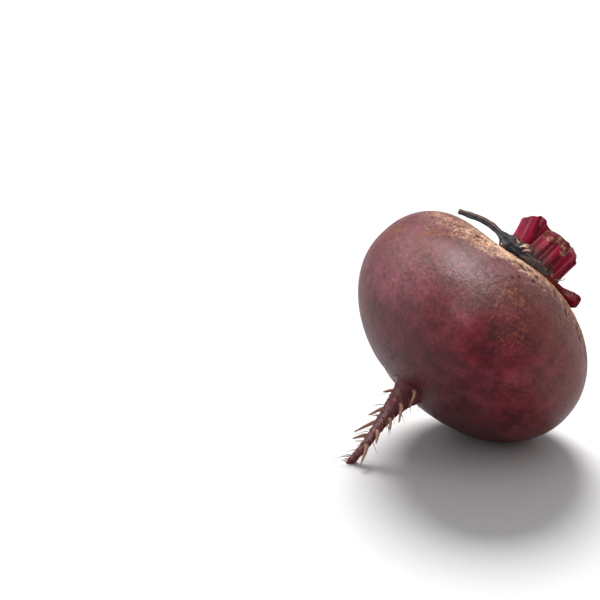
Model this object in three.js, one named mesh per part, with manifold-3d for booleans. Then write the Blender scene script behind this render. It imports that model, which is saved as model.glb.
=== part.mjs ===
// A whole beetroot with its leaf stalks cut short, lying on a small flat spot and the tip of its tail.
// Millimetres, +Z up. The origin is on the table, under the middle of the whole thing.
// Every piece is first shaped upright in the root's own axes: +Z towards the crown, and azimuth 0 on the side
// that will face the table. The group called laid then tips it over.
import * as THREE from "three";
import { mergeVertices } from "three/addons/utils/BufferGeometryUtils.js";
import Module from "manifold-3d";

const wasm = await Module();
wasm.setup();

// Driving sizes of the swollen root
const GIRTH_RADIUS = 44.8;
const SHOULDER_HEIGHT = 27.2;
const SHOULDER_SQUARENESS = 2.4;
const UNDERSIDE_DEPTH = 31.1;
const UNDERSIDE_SQUARENESS = 2.03;
const OVALNESS = 0.035;
const OVAL_AZIMUTH = 14;
const DENT_DEPTH = 3.6;
const DENT_AZIMUTH = 208;
const DENT_RADIUS = 26.8;
const DENT_SPREAD = 16.3;
const DENT_FADE = 7;
const LUMP_HEIGHT = 0.35;

// The crown that the stalks grow from, and the leaf scars that ring it
const CROWN_RISE = 3.4;
const CROWN_RADIUS = 11.5;
const CROWN_STEEPNESS = 4;
const SCAR_SPACING = 3.1;
const SCAR_HEIGHT = 0.3;
const SCAR_REACH = 20;

// The tail root
const TAIL_LENGTH = 33;
const TAIL_NECK_RADIUS = 7.6;
const TAIL_FADE = 10;
const TAIL_TIP_RADIUS = 1.1;
const TAIL_SAG = 3.4;
const TAIL_WANDER = 1.6;
const ROOTLETS = 9;
const ROOTLET_LENGTH = 9;
const ROOTLET_RADIUS = 0.75;

// How it lies
const AXIS_TIP = 53.4;
const AXIS_SWING = 35.3;
const FLAT_DEPTH = 1.4;

// Mesh fineness, the gap that keeps two grown-together pieces apart, and the finest detail a cut may leave
const ROUND_STEPS = 46;
const BODY_STEP = 3;
const CROWN_STEP = 1.3;
const TAIL_STEP = 3.2;
const GAP = 0.3;
const SLIVER = 0.02;

const radians = THREE.MathUtils.degToRad;
const { smoothstep, lerp } = THREE.MathUtils;

// Manifold helpers

// A closed three.js geometry as a solid.
function solidOf(geometry) {
  const bare = geometry.clone();
  bare.deleteAttribute("normal");
  bare.deleteAttribute("uv");
  const merged = mergeVertices(bare, 1e-4);
  return new wasm.Manifold(
    new wasm.Mesh({
      numProp: 3,
      vertProperties: new Float32Array(merged.attributes.position.array),
      triVerts: new Uint32Array(merged.index.array),
    }),
  );
}

// The biggest body of a solid, as a three.js geometry: scraps that a cut leaves are dropped.
function geometryOf(solid) {
  const bodies = solid.decompose().sort((a, b) => b.volume() - a.volume());
  const mesh = bodies[0].simplify(SLIVER).getMesh();
  const geometry = new THREE.BufferGeometry();
  geometry.setAttribute("position", new THREE.BufferAttribute(mesh.vertProperties, 3));
  geometry.setIndex(new THREE.BufferAttribute(mesh.triVerts, 1));
  geometry.computeVertexNormals();
  return geometry;
}

// The same closed geometry with its skin moved out by a distance.
function grown(geometry, distance) {
  const bare = geometry.clone();
  bare.deleteAttribute("normal");
  bare.deleteAttribute("uv");
  const merged = mergeVertices(bare, 1e-4);
  merged.computeVertexNormals();
  const { position, normal } = merged.attributes;
  const point = new THREE.Vector3();
  const out = new THREE.Vector3();
  for (let i = 0; i < position.count; i++) {
    point.fromBufferAttribute(position, i).addScaledVector(out.fromBufferAttribute(normal, i), distance);
    position.setXYZ(i, point.x, point.y, point.z);
  }
  return merged;
}

// Moves every vertex of a geometry by a function of where it is.
function reshape(geometry, move) {
  const { position } = geometry.attributes;
  const point = new THREE.Vector3();
  for (let i = 0; i < position.count; i++) {
    move(point.fromBufferAttribute(position, i));
    position.setXYZ(i, point.x, point.y, point.z);
  }
  return geometry;
}

// The unit direction across the root's axis at an azimuth in degrees.
function outwardAt(azimuth) {
  return new THREE.Vector3(Math.cos(radians(azimuth)), Math.sin(radians(azimuth)), 0);
}

// A smooth curve through places given by their azimuth, their distance from the axis and their height.
function curveThrough(places) {
  const points = places.map(({ azimuth, radius, height }) =>
    outwardAt(azimuth).multiplyScalar(radius).setZ(height),
  );
  return new THREE.CatmullRomCurve3(points);
}

// The swollen root

// Height of the shoulder and crown above the girth, at a radius from the axis.
function topHeight(radius) {
  const share = Math.min(radius / GIRTH_RADIUS, 1) ** SHOULDER_SQUARENESS;
  const shoulder = SHOULDER_HEIGHT * (1 - share) ** (1 / SHOULDER_SQUARENESS);
  const crown = CROWN_RISE * Math.exp(-((radius / CROWN_RADIUS) ** CROWN_STEEPNESS));
  const scars = SCAR_HEIGHT * Math.sin((2 * Math.PI * radius) / SCAR_SPACING);
  return shoulder + crown + scars * (1 - smoothstep(radius, CROWN_RADIUS, SCAR_REACH));
}

// Radius of the root below the girth: the underside's curve, run softly into the tapering tail.
function lowerRadius(depth) {
  const share = Math.min(depth / UNDERSIDE_DEPTH, 1) ** UNDERSIDE_SQUARENESS;
  const globe = GIRTH_RADIUS * (1 - share) ** (1 / UNDERSIDE_SQUARENESS);
  const along = depth - UNDERSIDE_DEPTH + TAIL_FADE / 2;
  const taper = TAIL_TIP_RADIUS + TAIL_NECK_RADIUS * Math.exp(-Math.max(along, 0) / TAIL_FADE);
  const roundedLength = 2 * TAIL_TIP_RADIUS;
  const fromTip = (UNDERSIDE_DEPTH + TAIL_LENGTH - depth) / roundedLength;
  const rounding = Math.sqrt(1 - Math.max(1 - fromTip, 0) ** 2);
  return Math.hypot(globe ** 2, (taper * rounding) ** 2) ** 0.5;
}

// The half outline from the crown's middle to the tail's tip: walked finely, and kept at coarser steps.
function rootProfile() {
  const fine = [];
  const quarter = 400;
  for (let i = 0; i < quarter; i++) {
    const turn = (Math.PI / 2) * (i / quarter);
    const radius = GIRTH_RADIUS * Math.sin(turn) ** (2 / SHOULDER_SQUARENESS);
    fine.push(new THREE.Vector2(radius, topHeight(radius)));
  }
  const deepest = UNDERSIDE_DEPTH + TAIL_LENGTH;
  for (let depth = 0; depth < deepest; depth += 0.1) {
    fine.push(new THREE.Vector2(lowerRadius(depth), -depth));
  }
  const profile = [fine[0]];
  let walked = 0;
  for (let i = 1; i < fine.length; i++) {
    const { x: radius, y: height } = fine[i];
    const onCrown = height > 0 && radius > 0.7 * CROWN_RADIUS && radius < SCAR_REACH;
    const onTail = height < -UNDERSIDE_DEPTH;
    const step = onCrown ? CROWN_STEP : onTail ? TAIL_STEP : BODY_STEP;
    walked += fine[i].distanceTo(fine[i - 1]);
    if (walked >= step) {
      profile.push(fine[i]);
      walked = 0;
    }
  }
  profile.push(new THREE.Vector2(0, -deepest));
  return profile;
}

// How deep the flattened side of the shoulder is at a point: deepest in its middle, fading over its spread
// and towards the girth.
function dentAt(point) {
  const centre = outwardAt(DENT_AZIMUTH).multiplyScalar(DENT_RADIUS);
  const away = Math.hypot(point.x - centre.x, point.y - centre.y) / DENT_SPREAD;
  return DENT_DEPTH * Math.exp(-away * away) * smoothstep(point.z, 0, DENT_FADE);
}

// Slow lumps over the whole root, from waves that cross.
function lumpAt({ x, y, z }) {
  const crossing = Math.sin(x / 8.5 + 0.7) * Math.cos(y / 9.5 + 1.9);
  const slanting = Math.sin((z - 0.7 * x) / 7.5 + 2.4) * Math.cos(y / 14);
  return LUMP_HEIGHT * (crossing + slanting);
}

// Turns a point of the round profile into the uneven one that grew: oval, flattened on one side and lumpy.
function growUneven(point) {
  const azimuth = Math.atan2(point.y, point.x);
  const share = Math.hypot(point.x, point.y) / GIRTH_RADIUS;
  const oval = 1 + OVALNESS * share ** 2 * Math.cos(2 * (azimuth - radians(OVAL_AZIMUTH)));
  const swell = 1 + (lumpAt(point) * Math.min(3 * share, 1)) / GIRTH_RADIUS;
  const dent = dentAt(point);
  point.x *= oval * swell;
  point.y *= oval * swell;
  point.z -= dent;
  return bendTail(point);
}

// Sags the tail towards the table and lets it wander a little sideways, from just above its neck.
function bendTail(point) {
  const neck = 0.8 * UNDERSIDE_DEPTH;
  const along = Math.max(-point.z - neck, 0) / (UNDERSIDE_DEPTH + TAIL_LENGTH - neck);
  point.x += TAIL_SAG * along ** 2;
  point.y += TAIL_WANDER * Math.sin(2 * Math.PI * along) * along;
  return point;
}

function rootGeometry() {
  const lathe = new THREE.LatheGeometry(rootProfile().reverse(), ROUND_STEPS);
  lathe.rotateX(Math.PI / 2);
  return reshape(lathe, growUneven);
}

// Stalks, rootlets and scales: a round bar bent along a curve

// A closed bar along a curve. section(angle) gives across and out of a cross-section in millimetres, and
// width(t) swells it along the way. outward is the side that the section's out direction faces, and slant
// tilts the far cut, by its rise per millimetre across and per millimetre out.
function bar({ path, section, width = () => 1, outward, rings, sides, slant = [0, 0] }) {
  const unit = new THREE.CylinderGeometry(1, 1, 1, sides, rings);
  return reshape(unit, (point) => {
    const t = THREE.MathUtils.clamp(point.y + 0.5, 0, 1);
    const reach = Math.hypot(point.x, point.z);
    const [across, out] = section(Math.atan2(point.x, point.z));
    const ahead = path.getTangentAt(t);
    const side = new THREE.Vector3().crossVectors(outward, ahead).normalize();
    const up = new THREE.Vector3().crossVectors(ahead, side);
    const size = reach * width(t);
    point
      .copy(path.getPointAt(t))
      .addScaledVector(side, across * size)
      .addScaledVector(up, out * size)
      .addScaledVector(ahead, (slant[0] * across + slant[1] * out) * size * t ** 4);
  });
}

// A leaf stalk's cross-section: ribbed on its outer face, faintly on its inner one, with a channel down the
// inner face between two raised margins.
function stalkSection({ halfWidth, halfThickness, ribs, ribDepth, channel }) {
  const innerRibs = 0.3;
  return (angle) => {
    const across = Math.cos(angle);
    const out = Math.sin(angle);
    const rib = 1 + ribDepth * Math.cos(ribs * angle) * (out > 0 ? 1 : innerRibs);
    const margin = out < 0 ? channel * (0.55 * out + 1.5 * out ** 4) : 0;
    return [halfWidth * across * rib, halfThickness * (out * rib + margin)];
  };
}

// The cut stalks stand in a rosette. Each has its azimuth round the crown, its place out from the axis, how
// far it leans out, its half width and thickness, the height of its cut above the girth and that cut's slant.
const STALK_STUBS = [
  { azimuth: 139, radius: 6.9, lean: 14, halfWidth: 5, halfThickness: 3.7, top: 44.3, slant: [0.08, -0.55] },
  { azimuth: 100, radius: 6.6, lean: 6, halfWidth: 5.4, halfThickness: 3.1, top: 48.2, slant: [0.12, 0.1] },
  { azimuth: 236, radius: 6, lean: 0, halfWidth: 5, halfThickness: 3.1, top: 43.4, slant: [-0.12, 0] },
  { azimuth: 338, radius: 6.3, lean: 2, halfWidth: 4.9, halfThickness: 3.4, top: 44.6, slant: [0, -0.45] },
  { azimuth: 39, radius: 8.4, lean: 9, halfWidth: 3.6, halfThickness: 2.6, top: 43.4, slant: [-0.15, 0] },
  { azimuth: 190, radius: 0.8, lean: 3, halfWidth: 2.6, halfThickness: 1.9, top: 42, slant: [-0.2, 0.2] },
];
const STUB_FOOT = 26.5;
const STUB_FLARE = 1.3;
const STUB_RIBS = { ribs: 6, ribDepth: 0.06, channel: 0.85 };

// A stub is sunk into the crown at its flared foot, and bends outwards more in its upper half.
function stubGeometry({ azimuth, radius, lean, halfWidth, halfThickness, top, slant }) {
  const outward = outwardAt(azimuth);
  const foot = outward.clone().multiplyScalar(radius).setZ(STUB_FOOT);
  const spread = (top - STUB_FOOT) * Math.tan(radians(lean));
  const spreadHalfway = 0.36 * spread;
  const middle = foot.clone().addScaledVector(outward, spreadHalfway).setZ(lerp(STUB_FOOT, top, 0.5));
  const head = foot.clone().addScaledVector(outward, spread).setZ(top);
  return bar({
    path: new THREE.CatmullRomCurve3([foot, middle, head]),
    section: stalkSection({ halfWidth, halfThickness, ...STUB_RIBS }),
    width: (t) => lerp(STUB_FLARE, 1, t * (2 - t)),
    outward,
    rings: 3,
    sides: 24,
    slant,
  });
}

// The long withered stalk leaves the crown sideways and floats over the shoulder to a thin end.
const WITHERED_STALK_SIZES = { halfWidth: 2.4, halfThickness: 2.4, ribs: 5, ribDepth: 0.1, channel: 0.3 };
const WITHERED_STALK_PATH = [
  { azimuth: 250, radius: 10.6, height: 28.4 },
  { azimuth: 226, radius: 11, height: 28.8 },
  { azimuth: 203, radius: 11.8, height: 28.9 },
  { azimuth: 185, radius: 13.9, height: 28.7 },
  { azimuth: 172, radius: 16.6, height: 29.2 },
  { azimuth: 161, radius: 21.1, height: 29.6 },
  { azimuth: 156, radius: 25.2, height: 28.6 },
  { azimuth: 150, radius: 31.4, height: 26.1 },
];

// Its width along the way: thin where it leaves the crown, swollen past its bend, then thin to the end.
function witheredWidth(t) {
  const swelling = lerp(0.55, 1.15, smoothstep(t, 0.1, 0.34));
  return swelling - 0.68 * smoothstep(t, 0.4, 0.55) - 0.08 * smoothstep(t, 0.7, 1);
}

function witheredStalkGeometry() {
  return bar({
    path: curveThrough(WITHERED_STALK_PATH),
    section: stalkSection(WITHERED_STALK_SIZES),
    width: witheredWidth,
    outward: new THREE.Vector3(0, 0, 1),
    rings: 18,
    sides: 10,
  });
}

// The short withered stalk on the other side ends in a shrivelled club.
const CLUB_SIZES = { halfWidth: 2.4, halfThickness: 2.3, ribs: 5, ribDepth: 0.05, channel: 0.1 };
const CLUB_PATH = [
  { azimuth: 262, radius: 11.6, height: 28.2 },
  { azimuth: 281, radius: 13.3, height: 29 },
  { azimuth: 293, radius: 15.1, height: 29.5 },
  { azimuth: 300, radius: 17.7, height: 29.9 },
  { azimuth: 305, radius: 21.6, height: 31 },
];

function clubGeometry() {
  const swelling = (t) => lerp(0.56, 1.12, smoothstep(t, 0.45, 0.8));
  const rounding = (t) => Math.sqrt(1 - smoothstep(t, 0.82, 1.06) ** 2);
  return bar({
    path: curveThrough(CLUB_PATH),
    section: stalkSection(CLUB_SIZES),
    width: (t) => swelling(t) * rounding(t),
    outward: new THREE.Vector3(0, 0, 1),
    rings: 12,
    sides: 12,
  });
}

// Dried bases of older leaves: a low ring round the rosette's foot, with torn scales that stand up from it.
const COLLAR_RADIUS = 10.9;
const COLLAR_HEIGHT = 28.2;
const COLLAR_HALF_WIDTH = 1.9;
const COLLAR_HALF_HEIGHT = 1.7;
const SCALES = 14;
const SCALE_LENGTH = 4.1;
const SCALE_SIZES = { halfWidth: 3.1, halfThickness: 0.75, ribs: 4, ribDepth: 0.05, channel: 0.3 };

// Each scale differs a little in its place, length, lean and torn edge.
function scaleGeometry(index) {
  const azimuth = (360 / SCALES) * (index + 0.35 * Math.sin(5 * index));
  const length = SCALE_LENGTH * (1 + 0.37 * Math.sin(7.3 * index + 1));
  const lean = 1 + 0.9 * Math.cos(3.1 * index);
  const path = curveThrough([
    { azimuth, radius: COLLAR_RADIUS - 0.4, height: COLLAR_HEIGHT - 0.5 },
    { azimuth, radius: COLLAR_RADIUS + 0.4, height: COLLAR_HEIGHT + 0.35 * length },
    { azimuth, radius: COLLAR_RADIUS + lean, height: COLLAR_HEIGHT + 0.9 * length },
  ]);
  return bar({
    path,
    section: stalkSection(SCALE_SIZES),
    width: (t) => lerp(1.1, 0.42, t ** 1.5),
    outward: outwardAt(azimuth),
    rings: 2,
    sides: 7,
    slant: [0.25 * Math.sin(2.7 * index), 0],
  });
}

function collarRing() {
  const corners = 7;
  const around = 26;
  const profile = [];
  for (let i = 0; i <= corners; i++) {
    const angle = (2 * Math.PI * (i % corners)) / corners;
    const radius = COLLAR_RADIUS + COLLAR_HALF_WIDTH * Math.cos(angle);
    profile.push(new THREE.Vector2(radius, COLLAR_HEIGHT + COLLAR_HALF_HEIGHT * Math.sin(angle)));
  }
  const ring = new THREE.LatheGeometry(profile, around);
  ring.rotateX(Math.PI / 2);
  return ring;
}

// Rootlets stand in two rows down the tail, on the sides that don't meet the table, drooping to its tip.
const ROOTLET_ROWS = [95, 262];

function rootletGeometry(index) {
  const azimuth = ROOTLET_ROWS[index % 2] + 14 * Math.sin(4.1 * index);
  const depth = UNDERSIDE_DEPTH - 3 + (0.82 * TAIL_LENGTH * index) / ROOTLETS;
  const length = ROOTLET_LENGTH * (0.75 + 0.35 * Math.sin(2.3 * index));
  const surface = lowerRadius(depth);
  const path = curveThrough([
    { azimuth, radius: 0.35 * surface, height: -depth },
    { azimuth, radius: surface + 1, height: -depth - 0.5 },
    { azimuth, radius: surface + 0.7 * length, height: -depth - 0.7 * length },
  ]);
  path.points.forEach(bendTail);
  return bar({
    path,
    section: (angle) => [ROOTLET_RADIUS * Math.cos(angle), ROOTLET_RADIUS * Math.sin(angle)],
    width: (t) => lerp(1.25, 0.3, t),
    outward: new THREE.Vector3(0, 0, 1),
    rings: 5,
    sides: 6,
  });
}

// How the beetroot lies on the table

const laid = new THREE.Group();
laid.rotation.set(0, radians(AXIS_TIP), radians(AXIS_SWING), "ZYX");
laid.updateMatrix();

// Height of the swollen part's lowest point once it is tipped over, before it is lifted onto the table.
function lowestOf(geometry) {
  const { position } = geometry.attributes;
  const point = new THREE.Vector3();
  let lowest = Infinity;
  for (let i = 0; i < position.count; i++) {
    point.fromBufferAttribute(position, i);
    if (point.z > -UNDERSIDE_DEPTH) lowest = Math.min(lowest, point.applyMatrix4(laid.matrix).z);
  }
  return lowest;
}

// Everything below the table, in the root's own axes.
function belowTable() {
  const size = 6 * GIRTH_RADIUS;
  const slab = new THREE.BoxGeometry(size, size, size);
  slab.translate(0, 0, -size / 2);
  return solidOf(slab.applyMatrix4(laid.matrix.clone().invert()));
}

// Solids, each cut back from the ones that it grows against

const rootBody = rootGeometry();
laid.position.z = -lowestOf(rootBody) - FLAT_DEPTH;
laid.updateMatrix();

let root = solidOf(rootBody);
for (let index = 1; index <= ROOTLETS; index++) {
  root = root.add(solidOf(rootletGeometry(index)));
}
root = root.subtract(belowTable());

// Each piece that stands on the crown is cut back from the root and from the pieces already placed.
let taken = solidOf(grown(rootBody, GAP));

function placed(geometry) {
  const solid = solidOf(geometry).subtract(taken);
  taken = taken.add(solidOf(grown(geometry, GAP)));
  return solid;
}

const stubs = STALK_STUBS.map((stub) => placed(stubGeometry(stub)));
const witheredStalk = placed(witheredStalkGeometry());
const club = placed(clubGeometry());
let collar = solidOf(collarRing());
for (let index = 0; index < SCALES; index++) {
  collar = collar.add(solidOf(scaleGeometry(index)));
}
collar = collar.subtract(taken);

// Materials, in the photograph's colours

const skin = new THREE.MeshStandardMaterial({ color: 0x6b4650, roughness: 0.62, metalness: 0 });
const crimson = new THREE.MeshStandardMaterial({ color: 0xa01848, roughness: 0.4, metalness: 0 });
const charcoal = new THREE.MeshStandardMaterial({ color: 0x35302f, roughness: 0.8, metalness: 0 });
const darkRed = new THREE.MeshStandardMaterial({ color: 0x6e1420, roughness: 0.55, metalness: 0 });
const driedBrown = new THREE.MeshStandardMaterial({ color: 0x4a3a33, roughness: 0.85, metalness: 0 });

function addPiece(name, solid, material) {
  const mesh = new THREE.Mesh(geometryOf(solid), material);
  mesh.name = name;
  laid.add(mesh);
}

addPiece("swollen_root", root, skin);
stubs.forEach((solid, index) => addPiece(`stalk_stub_${index + 1}`, solid, crimson));
addPiece("withered_stalk", witheredStalk, charcoal);
addPiece("withered_club_stalk", club, darkRed);
addPiece("dry_leaf_bases", collar, driedBrown);

// The origin goes on the table under the middle of the whole beetroot.
const middle = new THREE.Box3().setFromObject(laid, true).getCenter(new THREE.Vector3());
laid.position.x -= middle.x;
laid.position.y -= middle.y;

const beetroot = new THREE.Group();
beetroot.add(laid);

export default beetroot;
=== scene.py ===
"""A whole beetroot with its leaf stalks cut short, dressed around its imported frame.

Sizes are millimetres in the root's own axes, +Z towards the crown and azimuth 0 on the side that faces the
table, until Lying.to_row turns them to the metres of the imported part.
"""

import itertools
import logging
import math
from collections.abc import Callable, Sequence
from dataclasses import dataclass
from enum import Enum
from functools import partial

import bmesh
import bpy
import numpy as np
from mathutils import Matrix, Vector


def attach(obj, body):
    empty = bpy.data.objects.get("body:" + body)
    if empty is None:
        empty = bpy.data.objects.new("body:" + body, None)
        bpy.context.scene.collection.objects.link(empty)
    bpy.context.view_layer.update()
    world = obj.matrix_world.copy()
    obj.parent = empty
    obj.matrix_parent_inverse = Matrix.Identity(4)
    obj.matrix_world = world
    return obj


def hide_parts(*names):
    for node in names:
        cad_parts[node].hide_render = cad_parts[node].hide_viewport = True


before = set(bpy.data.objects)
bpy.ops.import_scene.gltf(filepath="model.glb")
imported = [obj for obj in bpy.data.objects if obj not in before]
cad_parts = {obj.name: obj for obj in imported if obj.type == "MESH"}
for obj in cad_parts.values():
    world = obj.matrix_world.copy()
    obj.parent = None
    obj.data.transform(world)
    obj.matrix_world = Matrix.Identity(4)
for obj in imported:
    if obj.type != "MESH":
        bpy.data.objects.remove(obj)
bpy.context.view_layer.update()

LOG = logging.getLogger("beetroot")
MM = 0.001
TURN = 2 * math.pi
NOISE_CELLS = 48

# How much grain the bare rind keeps, how far scars and wrinkles stray, and how sharp a pit's edge is.
LEAST_GRAIN = 0.12
RING_STRAY = 7.0
FOLD_STRAY = 6.0
PIT_STEEPNESS = 2.5

Array = np.ndarray
Thing = bpy.types.Object
Tree = bpy.types.NodeTree
Material = bpy.types.Material
Source = bpy.types.Node | bpy.types.NodeSocket
Run = tuple[float, float, float, float]
Pair = tuple[float, float]
Triple = tuple[float, float, float]


class Slot(Enum):
    """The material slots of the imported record."""

    ROOT_SKIN = "root_skin"
    LEAF_STALK = "leaf_stalk"
    CHARRED_STALK = "charred_stalk"
    SHRIVELLED_STALK = "shrivelled_stalk"
    DRY_LEAF_BASE = "dry_leaf_base"


# Plain helpers


def linear(hex_colour: str) -> tuple[float, float, float, float]:
    """Turns an sRGB colour to the linear one that a shader wants.

    Args:
        hex_colour: Six hex digits after a hash.

    Returns:
        Linear red, green and blue, and an alpha of 1.
    """
    shares = [int(hex_colour[start : start + 2], 16) / 255 for start in (1, 3, 5)]
    turned = [c / 12.92 if c <= 0.04045 else ((c + 0.055) / 1.055) ** 2.4 for c in shares]
    return (turned[0], turned[1], turned[2], 1.0)


def smoothstep(value: Array | float, low: float, high: float) -> Array:
    """Runs smoothly from 0 at low to 1 at high."""
    share = np.clip((np.asarray(value, float) - low) / (high - low), 0, 1)
    return share * share * (3 - 2 * share)


def bell(away: Array, spread: float) -> Array:
    """1 where away is 0, and next to nothing beyond two spreads."""
    return np.exp(-((away / spread) ** 2))


def unit(vectors: Array) -> Array:
    """The vectors, each made one long."""
    return vectors / np.linalg.norm(vectors, axis=-1, keepdims=True)


def angles_round(sides: int) -> Array:
    """Angles spread evenly round a circle."""
    return np.linspace(0, TURN, sides, endpoint=False)


def distance_along(line: Array) -> Array:
    """How far along a line of points each of them is."""
    return np.concatenate([[0], np.cumsum(np.linalg.norm(np.diff(line, axis=0), axis=1))])


def direction(azimuth: Array | float) -> Array:
    """The unit vector across the root's axis at an azimuth in degrees."""
    turn = np.radians(azimuth)
    return np.stack([np.cos(turn), np.sin(turn), np.zeros_like(turn)], axis=-1)


def smooth_noise(points: Array, size: float, seed: int) -> Array:
    """Smooth noise from -1 to 1.

    Args:
        points: Places, one a row.
        size: Distance between its lumps, in the places' own unit.
        seed: Which noise it is.

    Returns:
        One value a place.
    """
    lattice = np.random.default_rng(seed).uniform(-1, 1, (NOISE_CELLS,) * 3)
    scaled = points / size
    cell = np.floor(scaled).astype(int)
    part = scaled - cell
    part = part * part * (3 - 2 * part)
    total = np.zeros(len(points))
    for corner in itertools.product((0, 1), repeat=3):
        weight = np.prod(np.where(corner, part, 1 - part), axis=1)
        near = (cell + corner) % NOISE_CELLS
        total += weight * lattice[near[:, 0], near[:, 1], near[:, 2]]
    return total


# How the beetroot lies


@dataclass(frozen=True)
class Lying:
    """The tip, swing and place that lay the upright beetroot on the table."""

    tip: float = 53.4
    swing: float = 35.3
    centre: Triple = (0.35914, -0.22623, 40.13850)

    def turn(self) -> Array:
        """The rotation from the root's own axes to the row's."""
        swing = Matrix.Rotation(math.radians(self.swing), 3, "Z")
        return np.array(swing @ Matrix.Rotation(math.radians(self.tip), 3, "Y"))

    def to_row(self, points: Array) -> Array:
        """Places in the root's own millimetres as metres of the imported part."""
        return (points @ self.turn().T + np.array(self.centre)) * MM

    def to_own(self, points: Array) -> Array:
        """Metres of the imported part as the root's own millimetres."""
        return (points / MM - np.array(self.centre)) @ self.turn()


LYING = Lying()


@dataclass(frozen=True)
class Spot:
    """A place round the root's axis."""

    azimuth: float
    radius: float
    height: float

    def point(self) -> Array:
        """The place in the root's own axes."""
        return direction(self.azimuth) * self.radius + np.array([0, 0, self.height])


class SmoothPath:
    """A centripetal curve through a few points, walked at an even pace."""

    def __init__(self, points: Sequence[Array | Spot], count: int = 60) -> None:
        """Walks the curve.

        Args:
            points: The places that it goes through.
            count: Steps between two of them.
        """
        given = np.array([place.point() if isinstance(place, Spot) else place for place in points], float)
        ends = [2 * given[0] - given[1], *given, 2 * given[-1] - given[-2]]
        walked = [self._span(ends[i : i + 4], count) for i in range(len(given) - 1)]
        self.line = np.vstack([*walked, given[-1:]])
        self.length = float(distance_along(self.line)[-1])
        self.share = distance_along(self.line) / self.length

    @staticmethod
    def _span(near: Sequence[Array], count: int) -> Array:
        """The curve between the middle two of four points.

        Args:
            near: The four points.
            count: Steps along it.

        Returns:
            Its points, one a row, without the last one.
        """
        gap = [max(np.linalg.norm(near[i + 1] - near[i]), 1e-6) ** 0.5 for i in range(3)]
        step = [(near[i + 1] - near[i]) / gap[i] for i in range(3)]
        leave = step[0] - (near[2] - near[0]) / (gap[0] + gap[1]) + step[1]
        reach = step[1] - (near[3] - near[1]) / (gap[1] + gap[2]) + step[2]
        leave, reach = leave * gap[1], reach * gap[1]
        t = np.linspace(0, 1, count, endpoint=False)[:, None]
        square = -3 * near[1] + 3 * near[2] - 2 * leave - reach
        cube = 2 * near[1] - 2 * near[2] + leave + reach
        return near[1] + leave * t + square * t**2 + cube * t**3

    def at(self, share: Array) -> Array:
        """The points at shares of its length."""
        return np.stack([np.interp(share, self.share, self.line[:, i]) for i in range(3)], axis=-1)

    def ahead(self, share: Array) -> Array:
        """The unit directions at shares of its length."""
        reach = 0.01
        return unit(self.at(np.clip(share + reach, 0, 1)) - self.at(np.clip(share - reach, 0, 1)))

    def axes(self, share: Array, facing: float) -> tuple[Array, Array, Array]:
        """Unit directions along the path, to its side and up from it, where its top faces an azimuth.

        Args:
            share: Shares of its length.
            facing: The azimuth in degrees.

        Returns:
            The three directions, one a row.
        """
        ahead = self.ahead(share)
        side = unit(np.cross(direction(facing), ahead))
        return ahead, side, np.cross(ahead, side)


# Meshes


def linked(name: str, data: bpy.types.ID) -> Thing:
    """An object of the scene that holds the data.

    Args:
        name: Its name.
        data: What it shows.

    Returns:
        The new object.
    """
    made = bpy.data.objects.new(name, data)
    bpy.context.scene.collection.objects.link(made)
    return made


def make_object(
    name: str,
    vertices: Array,
    faces: Sequence[Sequence[int]] = (),
    edges: Sequence[Sequence[int]] = (),
    values: dict[str, Array] | None = None,
) -> Thing:
    """Links a mesh object with its faces turned outwards.

    Args:
        name: The object's name.
        vertices: Places in metres.
        faces: Vertex indices of each face.
        edges: Vertex indices of each loose edge.
        values: Values kept at the vertices, by name: one number or three for each.

    Returns:
        The new object.
    """
    mesh = bpy.data.meshes.new(name)
    mesh.from_pydata(vertices.tolist(), edges, faces)
    for key, value in (values or {}).items():
        kind, field = ("FLOAT_VECTOR", "vector") if np.ndim(value) == 2 else ("FLOAT", "value")
        kept = mesh.attributes.new(key, kind, "POINT")
        kept.data.foreach_set(field, np.ascontiguousarray(value, np.float32).ravel())
    if len(faces):
        shell = bmesh.new()
        shell.from_mesh(mesh)
        bmesh.ops.recalc_face_normals(shell, faces=shell.faces)
        shell.to_mesh(mesh)
        shell.free()
        mesh.shade_smooth()
    return linked(name, mesh)


def closed_grid(rings: int, sides: int) -> list[list[int]]:
    """Faces of a tube of rings whose two ends close in a pole each.

    Args:
        rings: How many rings it has.
        sides: Vertices in a ring.

    Returns:
        The faces. The poles are the two vertices after the rings' own.
    """
    ring, side = np.meshgrid(np.arange(rings - 1), np.arange(sides), indexing="ij")
    after = (side + 1) % sides
    start, above = ring * sides, (ring + 1) * sides
    quads = np.stack([start + side, start + after, above + after, above + side], axis=-1)
    faces = quads.reshape(-1, 4).tolist()
    first, last = rings * sides, rings * sides + 1
    for i in range(sides):
        near = (i + 1) % sides
        faces.append([first, near, i])
        faces.append([last, (rings - 1) * sides + i, (rings - 1) * sides + near])
    return faces


def with_poles(grid: Array) -> Array:
    """A grid's values with the means of its first and last rings added, for closed_grid's poles."""
    flat = grid.reshape(-1, *grid.shape[2:])
    return np.concatenate([flat, grid[:1].mean(axis=1), grid[-1:].mean(axis=1)])


# Node trees


def result_of(source: Source) -> bpy.types.NodeSocket:
    """The socket that a source gives. A node stands for its own result.

    Args:
        source: A node or a socket.

    Returns:
        The socket to link from.
    """
    if isinstance(source, bpy.types.NodeSocket):
        return source
    colour_mix = source.bl_idname == "ShaderNodeMix" and source.data_type == "RGBA"
    return source.outputs[2 if colour_mix else 0]


def add_node(
    tree: Tree,
    kind: str,
    inputs: dict[str | int, object] | None = None,
    **settings: object,
) -> bpy.types.Node:
    """Adds a node, sets it up and links it.

    Args:
        tree: The tree that it joins.
        kind: Blender's name of the node type.
        inputs: Values or sources by socket. A node stands for its own result.
        settings: The node's properties.

    Returns:
        The new node.
    """
    node = tree.nodes.new(kind)
    for key, value in settings.items():
        setattr(node, key, value)
    for key, value in (inputs or {}).items():
        if isinstance(value, Source):
            tree.links.new(result_of(value), node.inputs[key])
        else:
            node.inputs[key].default_value = value
    return node


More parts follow.
